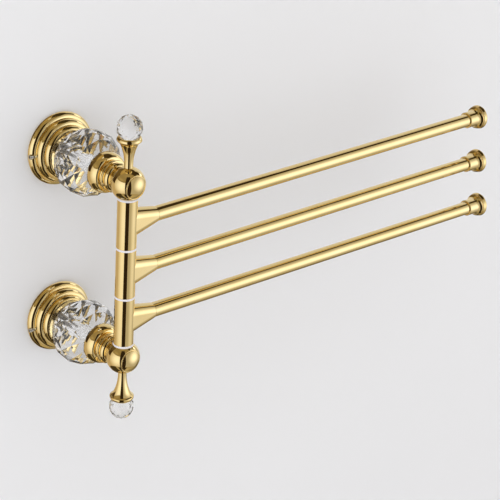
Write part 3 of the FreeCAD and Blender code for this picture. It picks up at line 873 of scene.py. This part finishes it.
    def grub_screw(self) -> Piece:
        """The socket screw in the rim: a turned shank, then six flat walls down to the socket's floor.

        The socket's edge stands at apothem / cos(angle from the nearest flat's middle).

        Returns:
            The piece's object.
        """
        length = self.grub_head - self.grub_tip
        floor = length - self.socket_depth
        angles = np.linspace(0.0, 2 * math.pi, self.grub_columns + 1)
        rim = self.socket_rim * self.socket_radius
        shank = [
            Corner(0.0, 0.0),
            Corner(self.grub_radius - self.grub_chamfer, 0.0),
            Corner(self.grub_radius, self.grub_chamfer),
            Corner(self.grub_radius, length, ease=0.3),
            Corner(rim, length),
        ]
        shell = Shell()
        shell.sheet(*spin(*trace(shank, closed=False), angles))
        sixth = math.pi / 3
        off = (angles + sixth / 2) % sixth - sixth / 2
        apothem = self.socket_radius * math.cos(sixth / 2)
        reach = apothem / np.cos(off)
        nought = np.zeros_like(reach)
        spokes = np.stack((np.full_like(reach, rim), reach, reach, nought))
        depth = np.array((length, length - self.socket_lead, floor, floor - self.drill_point))
        heights = np.broadcast_to(depth[:, None, None], (*spokes.shape, 1))
        rows = np.concatenate((spokes[..., None] * compass(angles), heights), axis=-1)
        upward = np.broadcast_to((0.0, 0.0, 1.0), rows[:2].shape)
        walls = -np.column_stack((compass(angles - off), nought))
        shell.sheet(rows[:2], upward)
        shell.sheet(rows[1:3], np.stack((walls, walls)))
        shell.sheet(rows[2:], upward)
        tip = Matrix.Translation((-self.grub_tip, 0.0, 0.0)) @ Matrix.Rotation(-math.pi / 2, 4, "Y")
        place = on_support(self.side, self.grub_height, self.grub_turn) @ tip
        return shell.make(self.name("grub_screw"), place)

    def bulb_end(self, ring: Array) -> Array:
        """A flat end of the bulb: fans from its corners to the bore, and a link between each two of them.

        Args:
            ring: The end's corners.

        Returns:
            The triangles' corners.
        """
        steps, half = self.bore_steps, self.bore_steps // 2
        columns = self.bulb_facets * steps
        angles = math.atan2(ring[0, 1], ring[0, 0]) + np.arange(columns) * 2 * math.pi / columns
        bore = np.column_stack((self.bulb_bore * compass(angles), np.full_like(angles, ring[0, 2])))
        spoke = np.arange(self.bulb_facets) * steps
        near = (spoke[:, None] + np.arange(-half, half)).ravel()
        fans = np.stack((np.repeat(ring, steps, axis=0), bore[near], bore[(near + 1) % columns]), axis=1)
        links = np.stack((ring, np.roll(ring, -1, axis=0), bore[spoke + half]), axis=1)
        return np.concatenate((fans, links))

    def bulb(self) -> Piece:
        """The crystal bulb: triangular facets over a barrel, two flat ends and a smooth bore.

        Returns:
            The piece's object.
        """
        rows = crown_rows(self.bulb_radius, self.bulb_ends, self.bulb_length, self.bulb_rows)
        corners, rings = cut_facets(rows, self.bulb_facets)
        shell = Shell()
        shell.facets(np.concatenate((corners, *(self.bulb_end(ring) for ring in rings[[0, -1]]))))
        angles = np.linspace(0.0, 2 * math.pi, 2 * self.bulb_facets * self.bore_steps + 1)
        tube = np.array(((self.bulb_bore, rows[-1, 1]), (self.bulb_bore, rows[0, 1])))
        shell.sheet(*spin(tube, np.array(((-1.0, 0.0), (-1.0, 0.0))), angles))
        return shell.make(self.name("crystal_bulb"), on_support(self.side, self.bulb_base))

    def collar(self) -> Piece:
        """The collar: a round cup, a waist, a thin ring, a bead and a neck whose end is hollowed to the ball.

        Returns:
            The piece's object.
        """
        ball_centre = STAND_OFF - self.collar_base
        hollow = ball_centre - math.sqrt(self.ball_radius ** 2 - self.rod_hole ** 2)
        depth, run = self.cup_curve
        front = self.cup_side + run
        waist, waist_length = self.collar_waist
        waist_base = front + self.collar_face
        ring, ring_width = self.collar_ring
        ring_base = waist_base + waist_length
        rise, lift, bead = self.collar_bead
        bead_base = ring_base + ring_width + self.collar_groove
        crest = bead_base + lift
        corners = [
            Corner(self.rod_hole, 0.0),
            Corner(self.cup_radius, 0.0, ease=0.5),
            Corner(self.cup_radius, self.cup_side),
            Corner(self.cup_radius - depth, front, arc_over(depth, run), ease=0.6),
            Corner(waist, waist_base, ease=0.6),
            Corner(waist, ring_base, ease=0.4),
            Corner(ring, ring_base, ease=0.5),
            Corner(ring, ring_base + ring_width, ease=0.5),
            Corner(self.collar_neck + bead - rise, bead_base, ease=0.3),
            Corner(self.collar_neck + bead, crest, arc_over(rise, lift)),
            Corner(self.collar_neck, crest + bead, bead),
            Corner(self.collar_neck, self.collar_length, ease=0.1),
            Corner(self.rod_hole, hollow, self.ball_radius, Bend.IN),
        ]
        return turned(self.name("collar"), corners, on_support(self.side, self.collar_base))

    def build(self, palette: Palette) -> None:
        """Makes and dresses the support's pieces."""
        made = (
            ("rosette", self.rosette(), Slot.GOLD),
            ("grub_screw", self.grub_screw(), Slot.SCREW),
            ("crystal_bulb", self.bulb(), Slot.CRYSTAL),
            ("collar", self.collar(), Slot.GOLD),
        )
        for piece, thing, slot in made:
            dress(thing, palette, slot, ROOT, self.node(piece))


# Column

@dataclass
class Column:
    """What stands on the spindle besides the arms: balls, finial stems, finial crystals and washers.

    ring is the radius and width of the ring in a ball's front, which ends front_margin half widths from the
    ring's middle. ball_cells counts a ball's cells around, upwards and from its front outwards.
    """

    ball_radius: float = 13.6
    hub_radius: float = 8.0
    spindle_bore: float = 4.05
    end_bore: float = 2.55
    ball_step: float = 8.0
    stem_radius: float = 3.5
    ball_rim: float = 0.4
    ring: tuple = (9.2, 0.9)
    ring_ease: float = 0.1
    front_margin: float = 3.0
    ball_cells: tuple = (144, 30, 14)
    stem_straight: float = 3.0
    waist: tuple = (2.8, 14.5)
    bell_rise: float = 3.8
    bell_curve: float = 11.0
    bell_turn: tuple = (0.9, 1.2)
    bell_lip: tuple = (1.2, 2.5)
    bell_wall: float = 0.6
    bell_clearance: float = 0.3
    seat_depth: float = 2.9
    stem_hole: float = 10.3
    bead_radius: float = 10.3
    bead_ends: tuple = (3.2, 2.6)
    bead_facets: int = 10
    bead_rows: int = 7
    washer_hole: float = 4.3
    washer_radius: float = 8.35
    washer_thickness: float = 1.6
    column_half: float = 63.2
    pitch: float = 41.6

    @property
    def crown(self) -> float:
        """Height of the ball's upper flat above its centre."""
        return math.sqrt(self.ball_radius ** 2 - (self.stem_radius + self.ball_rim) ** 2)

    @property
    def stem_length(self) -> float:
        """Length of a finial stem, to the rim of its bell."""
        rises = (self.stem_straight, self.waist[1], self.bell_rise, self.bell_turn[1], self.bell_lip[1])
        return sum(rises)

    @property
    def bell_seat(self) -> float:
        """Radius of the bell's recess: the crystal's radius at the rim and a clearance."""
        above = math.sqrt(self.bead_radius ** 2 - self.bead_ends[0] ** 2) - self.seat_depth
        return math.sqrt(self.bead_radius ** 2 - above ** 2) + self.bell_clearance

    def ball(self, side: Side) -> Piece:
        """A ball with a flat seat for the column and one for the stem, and a fine ring turned in its front.

        The front, a dome and the ring around it, is turned about the support's axis. The rest is the sphere
        radius times (cos e sin a, cos e cos a, sin e) over azimuth a and elevation e, a rectangle with the
        front's edge cut out of it.

        Args:
            side: Which end of the spindle.

        Returns:
            The piece's object.
        """
        radius, front = self.ball_radius, -side.value
        ring, width = self.ring
        tilt, half = math.asin(ring / radius), 2 * math.asin(width / (4 * radius))
        edge = tilt + self.front_margin * half
        dome = (
            (edge, 0.0, Bend.OUT),
            (tilt + half, radius, Bend.OUT),
            (tilt - half, width / 2, Bend.IN),
            (0.0, radius, Bend.OUT),
        )
        corners = []
        for at, arc, bend in dome:
            corners.append(Corner(radius * math.sin(at), radius * math.cos(at), arc, bend, self.ring_ease))
        turn = np.radians(np.arange(-90.0, 271.0))
        aside, above = math.sin(edge) * np.cos(turn), math.sin(edge) * np.sin(turn)
        hole = np.stack((np.arctan2(aside, math.cos(edge)), np.arcsin(above)), axis=1)
        seat = math.sqrt(radius ** 2 - self.hub_radius ** 2)
        columns, rows, steps = self.ball_cells
        around = np.linspace(-math.pi, math.pi, columns + 1)
        upward = np.linspace(-math.asin(seat / radius), math.asin(self.crown / radius), rows + 1)
        flat, start = collared(rectangle(around, upward), hole, steps)
        azimuth, rise = flat[..., 0], flat[..., 1]
        level = np.cos(rise)
        looks = np.stack((level * np.sin(azimuth), front * level * np.cos(azimuth), np.sin(rise)), axis=-1)
        bearing = np.interp(start, np.arange(len(turn)), turn)
        turned_front = spin(*trace(corners, closed=False), bearing)
        cap, cap_looks = (grid[..., [0, 2, 1]] * (1.0, front, 1.0) for grid in turned_front)
        skin = radius * looks
        skin[0] = cap[0]
        seats = [
            Corner(self.stem_radius + self.ball_rim, self.crown),
            Corner(self.end_bore, self.crown),
            Corner(self.end_bore, self.ball_step),
            Corner(self.spindle_bore, self.ball_step),
            Corner(self.spindle_bore, -seat),
            Corner(self.hub_radius, -seat),
        ]
        shell = Shell()
        shell.sheet(skin, looks)
        shell.sheet(cap, cap_looks)
        shell.sheet(*spin(*trace(seats, closed=False), front * (math.pi / 2 - around)))
        return shell.make(f"ball_{side.word}", on_spindle(BALL_HEIGHT, side))

    def stem(self, side: Side) -> Piece:
        """A finial stem: a slender trumpet that opens into a rounded bell.

        Args:
            side: Which end of the spindle.

        Returns:
            The piece's object.
        """
        waist_radius = self.stem_radius + self.waist[0]
        rim = self.bell_seat + self.bell_wall
        bell = rim + self.bell_lip[0]
        arcs = [arc_over(*bow) for bow in (self.waist, self.bell_turn, self.bell_lip)]
        base = self.stem_straight + self.waist[1]
        turn_base = base + self.bell_rise
        floor = self.stem_length - self.seat_depth
        corners = [
            Corner(0.0, self.stem_hole),
            Corner(self.end_bore, self.stem_hole),
            Corner(self.end_bore, 0.0),
            Corner(self.stem_radius, 0.0, ease=0.25),
            Corner(self.stem_radius, self.stem_straight),
            Corner(waist_radius, base, arcs[0], Bend.IN, ease=1.2),
            Corner(bell - self.bell_turn[0], turn_base, self.bell_curve, Bend.IN, ease=0.5),
            Corner(bell, turn_base + self.bell_turn[1], arcs[1]),
            Corner(rim, self.stem_length, arcs[2], ease=0.25),
            Corner(self.bell_seat, self.stem_length, ease=0.2),
            Corner(self.bell_seat, floor),
            Corner(0.0, floor),
        ]
        place = on_spindle(BALL_HEIGHT + self.crown, side)
        return turned(f"finial_stem_{side.word}", corners, place, closed=False)

    def bead(self, side: Side) -> Piece:
        """A finial crystal: a small ball of triangular facets with two flat ends.

        Args:
            side: Which end of the spindle.

        Returns:
            The piece's object.
        """
        length = sum(math.sqrt(self.bead_radius ** 2 - end ** 2) for end in self.bead_ends)
        rows = crown_rows(self.bead_radius, self.bead_ends, length, self.bead_rows)
        corners, rings = cut_facets(rows, self.bead_facets)
        ends = []
        for ring in rings[[0, -1]]:
            middle = np.broadcast_to(ring.mean(axis=0), ring.shape)
            ends.append(np.stack((ring, np.roll(ring, -1, axis=0), middle), axis=1))
        shell = Shell()
        shell.facets(np.concatenate((corners, *ends)))
        floor = self.stem_length - self.seat_depth
        return shell.make(f"finial_crystal_{side.word}", on_spindle(BALL_HEIGHT + self.crown + floor, side))

    def washer(self, number: int) -> Piece:
        """A pale washer with a softly rounded rim.

        Args:
            number: The washer's number, from the top of the column down.

        Returns:
            The piece's object.
        """
        top = self.washer_thickness
        corners = [
            Corner(self.washer_hole, 0.0),
            Corner(self.washer_radius, 0.0, ease=0.4),
            Corner(self.washer_radius, top, ease=0.4),
            Corner(self.washer_hole, top),
        ]
        height = self.column_half - top - (number - 1) * self.pitch
        return turned(f"pivot_ring_{number}", corners, on_spindle(height))

    def build(self, palette: Palette) -> None:
        """Makes and dresses the column's pieces."""
        for side in Side:
            dress(self.ball(side), palette, Slot.GOLD, ROOT, f"{side.word}_ball")
            dress(self.stem(side), palette, Slot.GOLD, ROOT, f"{side.word}_finial_stem")
            dress(self.bead(side), palette, Slot.CRYSTAL, ROOT, f"{side.word}_finial_crystal")
        for number in (1, 2, 3, 4):
            dress(self.washer(number), palette, Slot.WASHER, ROOT, f"pivot_washer_{number}")


# Arms

@dataclass
class SwingArm:
    """One arm: the hub with its tapering bracket, the straight tube and the flared end cap.

    root and shoulder are the bracket's oblongs: the radius of their half circles and half of their straight
    sides, which side_steps divides. hub_cells counts the hub's cells around, upwards and from the bracket
    outwards.
    """

    number: int
    rest: float
    hub_radius: float = 8.0
    hub_length: float = 40.0
    hub_ease: float = 0.4
    hub_bore: float = 5.1
    bore_ease: float = 0.3
    hub_cells: tuple = (96, 40, 14)
    bracket_rows: int = 16
    side_steps: int = 60
    column_half: float = 63.2
    pitch: float = 41.6
    arm_height: float = 20.7
    reach: float = 27.4
    root: tuple = (7.4, 5.65)
    root_drop: float = 1.05
    shoulder: tuple = (6.2, 0.25)
    spigot_radius: float = 5.05
    spigot_length: float = 16.0
    tube_radius: float = 6.0
    tube_bore: float = 5.1
    tube_length: float = 375.1
    slip: float = 0.05
    joint_ease: float = 0.25
    socket_depth: float = 5.0
    sleeve: tuple = (7.3, 8.5)
    flare: float = 4.7
    lip: tuple = (10.0, 0.7)
    groove: tuple = (9.5, 0.5)
    button: tuple = (11.2, 3.6)
    button_taper: float = 0.9
    dome: float = 3.0

    @property
    def body(self) -> str:
        """The arm's CAD body."""
        return f"arm_{self.number}"

    def on_hub(self) -> Matrix:
        """The hub's foot, with Z up the spindle and X along the arm."""
        foot = self.column_half - self.number * self.pitch
        return Matrix.Translation((0.0, -STAND_OFF, foot)) @ Matrix.Rotation(-math.radians(self.rest), 4, "Z")

    def on_arm(self, distance: float) -> Matrix:
        """A place on the arm's axis, whose own Z points along the arm."""
        along = Matrix.Translation((distance, 0.0, self.arm_height))
        return self.on_hub() @ along @ Matrix.Rotation(math.pi / 2, 4, "Y")

    def hub(self) -> Piece:
        """The hub and its bracket as one skin.

        The bracket's lines run straight from an upright oblong on the hub's axis to a smaller one at the
        tube, and each starts where it leaves the hub: the share of its length at which x squared plus y
        squared is the hub's radius squared. The hub's unrolled side is a rectangle with that edge cut out of
        it. A point of an oblong is (r cos t, r sin t + h l): its lift l is -1 on the lower half circle and 1
        on the upper, and along a straight side l changes while t stays.

        Returns:
            The piece's object.
        """
        (root, root_side), (shoulder, shoulder_side) = self.root, self.shoulder
        centre = self.arm_height - self.root_drop
        knots = np.cumsum((0, 90, self.side_steps, 180, self.side_steps, 90))
        path = np.arange(knots[-1] + 1.0)
        turn = np.radians(np.interp(path, knots, (-90, 0, 0, 180, 180, 270)))
        lift = np.interp(path, knots, (-1, -1, 1, 1, -1, -1))

        def oblong(turn: Array, lift: Array, radius: float, side: float) -> Array:
            """Points of an oblong about its middle, across and up."""
            return np.stack((radius * np.cos(turn), radius * np.sin(turn) + side * lift), axis=-1)

        def ruled(turn: Array, lift: Array, share: Array) -> tuple[Array, Array]:
            """Points of the bracket's lines and the normals there, the cross of its two slopes."""
            nought = np.zeros_like(turn)
            begin = oblong(turn, lift, root, root_side) + (0.0, centre)
            end = oblong(turn, lift, shoulder, shoulder_side) + (0.0, self.arm_height)
            near = np.concatenate((nought[..., None], begin), axis=-1)
            far = np.concatenate((nought[..., None] + self.reach, end), axis=-1)
            way = far - near
            slope = np.stack((nought, -np.sin(turn), np.cos(turn)), axis=-1)
            return near + share[..., None] * way, unit(np.cross(slope, way))

        def leaving(turn: Array) -> Array:
            """The share of each line that lies inside the hub, from its quadratic."""
            square = np.cos(turn) ** 2
            lean = shoulder - root
            first = self.reach ** 2 + lean ** 2 * square
            second = root * lean * square
            third = root ** 2 * square - self.hub_radius ** 2
            return (-second + np.sqrt(second ** 2 - first * third)) / first

        edge, _ = ruled(turn, lift, leaving(turn))
        hole = np.stack((self.hub_radius * np.arctan2(edge[:, 1], edge[:, 0]), edge[:, 2] - centre), axis=1)
        half = math.pi * self.hub_radius
        bottom, top = self.hub_ease - centre, self.hub_length - self.hub_ease - centre
        columns, rows, steps = self.hub_cells
        around = np.linspace(-half, half, columns + 1)
        flat, start = collared(rectangle(around, np.linspace(bottom, top, rows + 1)), hole, steps)
        turn, lift = np.interp(start, path, turn), np.interp(start, path, lift)

        last = np.full_like(turn, 1 - self.joint_ease / self.reach)
        share = np.linspace(leaving(turn), last, self.bracket_rows)
        bracket, bracket_looks = ruled(*(np.broadcast_to(each, share.shape) for each in (turn, lift)), share)
        bearing = flat[..., 0] / self.hub_radius
        looks = np.concatenate((compass(bearing), np.zeros_like(bearing)[..., None]), axis=-1)
        side = looks * self.hub_radius
        side[..., 2] = flat[..., 1] + centre
        side[0] = bracket[0]
        shell = Shell()
        shell.sheet(side, looks)
        shell.sheet(bracket, bracket_looks)

        rim = [
            Corner(self.hub_radius, self.hub_length - self.hub_ease),
            Corner(self.hub_radius, self.hub_length, ease=self.hub_ease),
            Corner(self.hub_bore, self.hub_length, ease=self.bore_ease),
            Corner(self.hub_bore, 0.0, ease=self.bore_ease),
            Corner(self.hub_radius, 0.0, ease=self.hub_ease),
            Corner(self.hub_radius, self.hub_ease),
        ]
        shell.sheet(*spin(*trace(rim, closed=False), around / self.hub_radius))

        face = oblong(turn, lift, shoulder - self.joint_ease, shoulder_side)
        outward = unit(face)
        spigot = self.spigot_radius * outward
        tip = self.reach + self.spigot_length
        ahead = [np.full_like(turn, distance) for distance in (self.reach, self.reach, tip, tip)]
        along = (bracket[-1, :, 0], *ahead)
        axis = (0.0, self.arm_height)
        rings = (bracket[-1, :, 1:] - axis, face, spigot, spigot, np.zeros_like(spigot))
        loops = np.stack([np.column_stack((x, ring + axis)) for x, ring in zip(along, rings)])
        nought = np.zeros_like(turn)
        forward = np.broadcast_to((1.0, 0.0, 0.0), (len(turn), 3))
        slant = (np.column_stack((nought, compass(turn))) + forward) / math.sqrt(2.0)
        sideways = np.column_stack((nought, outward))
        for index, look in enumerate((slant, forward, sideways, forward)):
            shell.sheet(loops[index:index + 2], np.stack((look, look)))
        return shell.make(f"hub_{self.body}", self.on_hub())

    def tube(self) -> Piece:
        """The straight tube, with eased ends that show as a fine joint line.

        Returns:
            The piece's object.
        """
        corners = [
            Corner(self.tube_bore, 0.0),
            Corner(self.tube_radius, 0.0, ease=self.joint_ease),
            Corner(self.tube_radius, self.tube_length, ease=self.joint_ease),
            Corner(self.tube_bore, self.tube_length),
        ]
        return turned(f"tube_{self.body}", corners, self.on_arm(self.reach), columns=96)

    def end_cap(self) -> Piece:
        """The end cap: a sleeve that flares to a lip, a groove and a domed button.

        Returns:
            The piece's object.
        """
        socket = self.tube_radius + self.slip
        sleeve, sleeve_length = self.sleeve
        lip, lip_width = self.lip
        groove, groove_width = self.groove
        button, button_width = self.button
        steps = (sleeve_length + self.flare, lip_width, groove_width, button_width)
        lip_base, groove_base, button_base, dome_base = np.cumsum(steps)
        corners = [
            Corner(0.0, self.socket_depth),
            Corner(socket, self.socket_depth),
            Corner(socket, 0.0),
            Corner(sleeve, 0.0, ease=0.5),
            Corner(sleeve, sleeve_length),
            Corner(lip, lip_base, arc_over(lip - sleeve, self.flare), Bend.IN, ease=0.3),
            Corner(lip, groove_base, ease=0.3),
            Corner(groove, groove_base),
            Corner(groove, button_base),
            Corner(button - self.button_taper, button_base, ease=0.3),
            Corner(button, dome_base, ease=1.2),
            Corner(0.0, dome_base + self.dome, arc_over(self.dome, button)),
        ]
        start = self.reach + self.tube_length - self.socket_depth
        return turned(f"end_cap_{self.body}", corners, self.on_arm(start), closed=False)

    def build(self, palette: Palette) -> None:
        """Makes and dresses the arm's pieces."""
        for part, thing in (("hub", self.hub()), ("tube", self.tube()), ("end_cap", self.end_cap())):
            dress(thing, palette, Slot.GOLD, self.body, f"{self.body}_{part}")


# Hidden hardware

@dataclass
class HiddenHardware:
    """The CAD nodes that stay: plates, rods, nuts, gaskets, spindle and bushes, with better finishes."""

    slots: dict = field(default_factory=lambda: {
        "wall_plate": Slot.PLATE,
        "tie_nut": Slot.PLATE,
        "gasket": Slot.GASKET,
        "spindle": Slot.SPINDLE,
        "bush": Slot.BUSH,
    })

    def build(self, palette: Palette) -> None:
        """Gives each node that stays its finish."""
        rod = ThreadedSteel("threaded_rod", (0.70, 0.69, 0.68), (0.55, 0.54, 0.53)).material()
        for name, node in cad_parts.items():
            if name.endswith("tie_rod"):
                node.data.materials[0] = rod
                LOG.info("%s keeps its shape, threaded", name)
            for ending, slot in self.slots.items():
                if name.endswith(ending):
                    node.data.materials[0] = palette[slot]
                    LOG.info("%s keeps its shape", name)


# Studio

def on_stage(name: str, points: Sequence, faces: Sequence, material: bpy.types.Material) -> Piece:
    """Makes a mesh of the studio and puts it on the stage.

    Args:
        name: Its name.
        points: Its points, in metres.
        faces: The numbers of each face's points.
        material: Its surface.

    Returns:
        Its object.
    """
    mesh = bpy.data.meshes.new(name)
    mesh.from_pydata(points, [], faces)
    mesh.materials.append(material)
    panel = bpy.data.objects.new(name, mesh)
    bpy.context.scene.collection.objects.link(panel)
    return panel


@dataclass(frozen=True)
class GlowPanel:
    """A bent panel of the studio that glows from a core colour at its focus to an edge colour at its reach.

    across and upward are the ranges that it fills. focus and reach are counted in half widths and half
    heights from its middle. A lamp lights everything. The others show in the metal's shine alone, or in the
    crystal too.
    """

    name: str
    across: tuple
    upward: tuple
    core: tuple
    edge: tuple
    focus: tuple = (0.0, 0.0)
    reach: float = 1.0
    lamp: bool = False
    in_glass: bool = False
    distance: float = 5.0

    def bend(self, across: Array, upward: Array) -> Array:
        """Points of the panel, in metres from the middle of the column."""
        raise NotImplementedError

    def build(self) -> None:
        """Makes the panel and puts it on the stage."""
        columns, rows = PANEL_GRID
        points = self.bend(*np.meshgrid(np.linspace(*self.across, columns), np.linspace(*self.upward, rows)))
        points = points + (0.0, -STAND_OFF * MM, 0.0)
        faces = grid_cells(rows, columns)[..., [0, 3, 2, 1]].reshape(-1, 4)
        panel = on_stage(self.name, points.reshape(-1, 3), faces, self.glow())
        spread = np.meshgrid(np.linspace(-1.0, 1.0, columns), np.linspace(-1.0, 1.0, rows))
        off = (np.stack(spread, axis=-1) - self.focus).reshape(-1, 2)[faces.ravel()]
        panel.data.uv_layers.new(name="off_focus").data.foreach_set("uv", off.astype(np.float32).ravel())
        panel.visible_camera = False
        if not self.lamp:
            panel.visible_diffuse = False
            panel.visible_transmission = self.in_glass
            panel.visible_shadow = False

    def glow(self) -> bpy.types.Material:
        """The panel's light, from its core colour at the focus to its edge colour at the reach."""
        recipe = Recipe(f"{self.name}_glow")
        recipe.tree.nodes.remove(recipe.surface)
        off = recipe.add("VectorMath", {0: recipe.place.node.outputs["UV"]}, "Value", operation="LENGTH")
        fade = recipe.add("MapRange", {"Value": off, "From Max": self.reach}, interpolation_type="SMOOTHSTEP")
        blend = recipe.add("MixRGB", {"Fac": fade, "Color1": (*self.core, 1.0), "Color2": (*self.edge, 1.0)})
        recipe.fill(recipe.end, {"Surface": recipe.add("Emission", {"Color": blend})})
        return recipe.material


class GlobePanel(GlowPanel):
    """A piece of a globe about the rack: across is its azimuth from straight out, upward its elevation."""

    def bend(self, across: Array, upward: Array) -> Array:
        """Distance times (sin a cos e, -cos a cos e, sin e)."""
        turn, tilt = np.radians(across), np.radians(upward)
        away = (np.sin(turn) * np.cos(tilt), -np.cos(turn) * np.cos(tilt), np.sin(tilt))
        return self.distance * np.stack(away, axis=-1)


class TunnelPanel(GlowPanel):
    """A piece of a tunnel along the arms: across is metres along X, upward its angle from straight out."""

    def bend(self, across: Array, upward: Array) -> Array:
        """X, then distance times (-cos a, sin a) in Y and Z."""
        turn = np.radians(upward)
        return np.stack((across, -self.distance * np.cos(turn), self.distance * np.sin(turn)), axis=-1)


@dataclass
class Studio:
    """The pale wall and floor, the soft lights, the globe that the metal shines with, and the camera."""

    wall_gap: float = 0.0004
    wall_top: float = 2.2
    half_width: float = 3.0
    floor_height: float = -1.05
    wall_tone: tuple = (0.86, 0.875, 0.92)
    floor_tone: tuple = (0.80, 0.79, 0.78)
    pale: float = 1.0
    ambient: float = 1.4
    camera_place: tuple = (-0.723251, -1.001316, 0.558145)
    camera_turn: tuple = (-43.113, 24.662, 3.705)
    focal_pixels: float = 1662.647
    frame_pixels: float = 500.0
    sensor: float = 36.0
    clip: tuple = (0.05, 50.0)
    glow_panels: tuple = (
        GlobePanel("softbox_left", (-132.0, -58.0), (-47.0, 24.0), (1.20, 1.18, 1.14), (0.57, 0.46, 0.30),
                   (0.5, 0.3), 2.0, lamp=True),
        GlobePanel("softbox_right", (-17.0, 104.0), (-48.0, 47.0), (1.55, 1.53, 1.52), (0.50, 0.455, 0.37),
                   reach=0.9, lamp=True),
        GlobePanel("hot_lamp", (80.0, 99.0), (13.0, 30.0), (2.2, 2.2, 2.2), (1.2, 1.15, 1.1), distance=4.8),
        GlobePanel("back_glow", (104.0, 228.0), (-47.0, 47.0), (0.82, 0.83, 0.84), (0.55, 0.44, 0.29),
                   (-1.0, 0.0), 1.6),
        GlobePanel("dark_front", (-58.0, -17.0), (-80.0, 64.0), (0.025, 0.014, 0.006), (0.03, 0.02, 0.01),
                   in_glass=True, distance=4.8),
        GlobePanel("dim_left", (-134.0, -58.0), (24.0, 47.0), (0.42, 0.33, 0.17), (0.30, 0.23, 0.11)),
        GlobePanel("dim_above", (-134.0, 40.0), (47.0, 90.0), (0.36, 0.28, 0.14), (0.30, 0.23, 0.11)),
        GlobePanel("dark_left", (-200.0, -134.0), (-3.0, 47.0), (0.03, 0.015, 0.006), (0.14, 0.095, 0.04),
                   (1.0, -0.6), 1.4, distance=4.8),
        GlobePanel("dark_above", (40.0, 158.0), (47.0, 90.0), (0.06, 0.04, 0.016), (0.05, 0.035, 0.014)),
        GlobePanel("warm_above", (158.0, 226.0), (47.0, 78.0), (0.50, 0.36, 0.14), (0.40, 0.28, 0.10)),
        GlobePanel("dark_below", (95.0, 265.0), (-90.0, -47.0), (0.06, 0.045, 0.02), (0.06, 0.045, 0.02)),
        GlobePanel("dim_below", (-95.0, 95.0), (-90.0, -47.0), (0.52, 0.43, 0.26), (0.40, 0.33, 0.20)),
        GlobePanel("dark_front_low", (-73.0, -2.0), (-85.0, -52.0), (0.025, 0.014, 0.006), (0.03, 0.02, 0.01),
                   distance=4.8),
        TunnelPanel("dark_strip_above", (0.35, 2.3), (70.0, 97.0), (0.03, 0.02, 0.008), (0.05, 0.035, 0.014),
                    distance=1.3),
        TunnelPanel("dark_strip_below", (0.35, 2.3), (-125.0, -74.0), (0.10, 0.08, 0.04), (0.30, 0.26, 0.17),
                    distance=1.3),
    )

    def wall(self) -> None:
        """The wall behind the rosettes. From behind it lets the view through."""
        recipe = Paint("wall_paint", self.wall_tone).recipe()
        behind = recipe.add("NewGeometry", output="Backfacing")
        seen = recipe.add("LightPath", output="Is Camera Ray")
        both = recipe.add("Math", {0: behind, 1: seen}, operation="MULTIPLY")
        clear = recipe.add("BsdfTransparent")
        mix = recipe.add("MixShader", {"Fac": both, 1: recipe.surface.outputs["BSDF"], 2: clear})
        recipe.fill(recipe.end, {"Surface": mix})
        side, low, top = self.half_width, self.floor_height, self.wall_top
        outline = ((-side, low), (side, low), (side, top), (-side, top))
        corners = [(across, self.wall_gap, height) for across, height in outline]
        wall = on_stage("wall", corners, [(0, 1, 2, 3)], recipe.material)
        wall.visible_glossy = False

    def floor(self) -> None:
        """The pale floor, well below the rack."""
        side = self.half_width
        outline = ((-side, -side), (side, -side), (side, side), (-side, side))
        corners = [(across, along, self.floor_height) for across, along in outline]
        paint = Paint("floor_paint", self.floor_tone).recipe().material
        floor = on_stage("floor", corners, [(0, 1, 2, 3)], paint)
        floor.visible_glossy = False
        floor.visible_transmission = False

    def world(self) -> None:
        """A white surround for what is seen, and a plain level for the light that the wall and floor get."""
        world = bpy.data.worlds.new("studio")
        bpy.context.scene.world = world
        world.use_nodes = True
        wiring = Wiring(world.node_tree)
        seen = wiring.add("LightPath", output="Is Camera Ray")
        rays = seen.node.outputs
        for ray in ("Is Glossy Ray", "Is Transmission Ray"):
            seen = wiring.add("Math", {0: seen, 1: rays[ray]}, operation="MAXIMUM")
        level = wiring.add("MapRange", {"Value": seen, "To Min": self.ambient, "To Max": self.pale})
        wiring.fill(wiring.tree.nodes["Background"], {"Color": (1.0, 1.0, 1.0, 1.0), "Strength": level})

    def camera(self) -> None:
        """The camera at the photograph's place: it looks back along its own bearing, rolled a little."""
        turn, tilt, roll = (math.radians(angle) for angle in self.camera_turn)
        back = Vector((math.sin(turn) * math.cos(tilt), -math.cos(turn) * math.cos(tilt), math.sin(tilt)))
        level = Vector((0.0, 0.0, 1.0)).cross(back).normalized()
        upright = back.cross(level)
        right = math.cos(roll) * level + math.sin(roll) * upright
        above = math.cos(roll) * upright - math.sin(roll) * level
        data = bpy.data.cameras.new("camera")
        data.sensor_width = self.sensor
        data.lens = self.sensor * self.focal_pixels / self.frame_pixels
        data.clip_start, data.clip_end = self.clip
        camera = bpy.data.objects.new("camera", data)
        turned_by = Matrix((right, above, back)).transposed().to_4x4()
        camera.matrix_world = Matrix.Translation(self.camera_place) @ turned_by
        bpy.context.scene.collection.objects.link(camera)
        bpy.context.scene.camera = camera

    def build(self) -> None:
        """Sets the stage."""
        bpy.context.scene.view_settings.view_transform = "Standard"
        self.wall()
        self.floor()
        for panel in self.glow_panels:
            panel.build()
        self.world()
        self.camera()


def main() -> None:
    """Builds the rack's sub-assemblies in order, then the studio."""
    logging.basicConfig(level=logging.INFO, format="%(message)s")
    palette = mix_palette()
    assemblies = [
        WallSupport(Side.UPPER, grub_turn=1.0),
        WallSupport(Side.LOWER, grub_turn=8.0),
        Column(),
        SwingArm(1, rest=-1.2),
        SwingArm(2, rest=-0.5),
        SwingArm(3, rest=0.5),
        HiddenHardware(),
    ]
    for assembly in assemblies:
        assembly.build(palette)
    Studio().build()


if __name__ == "__main__":
    main()
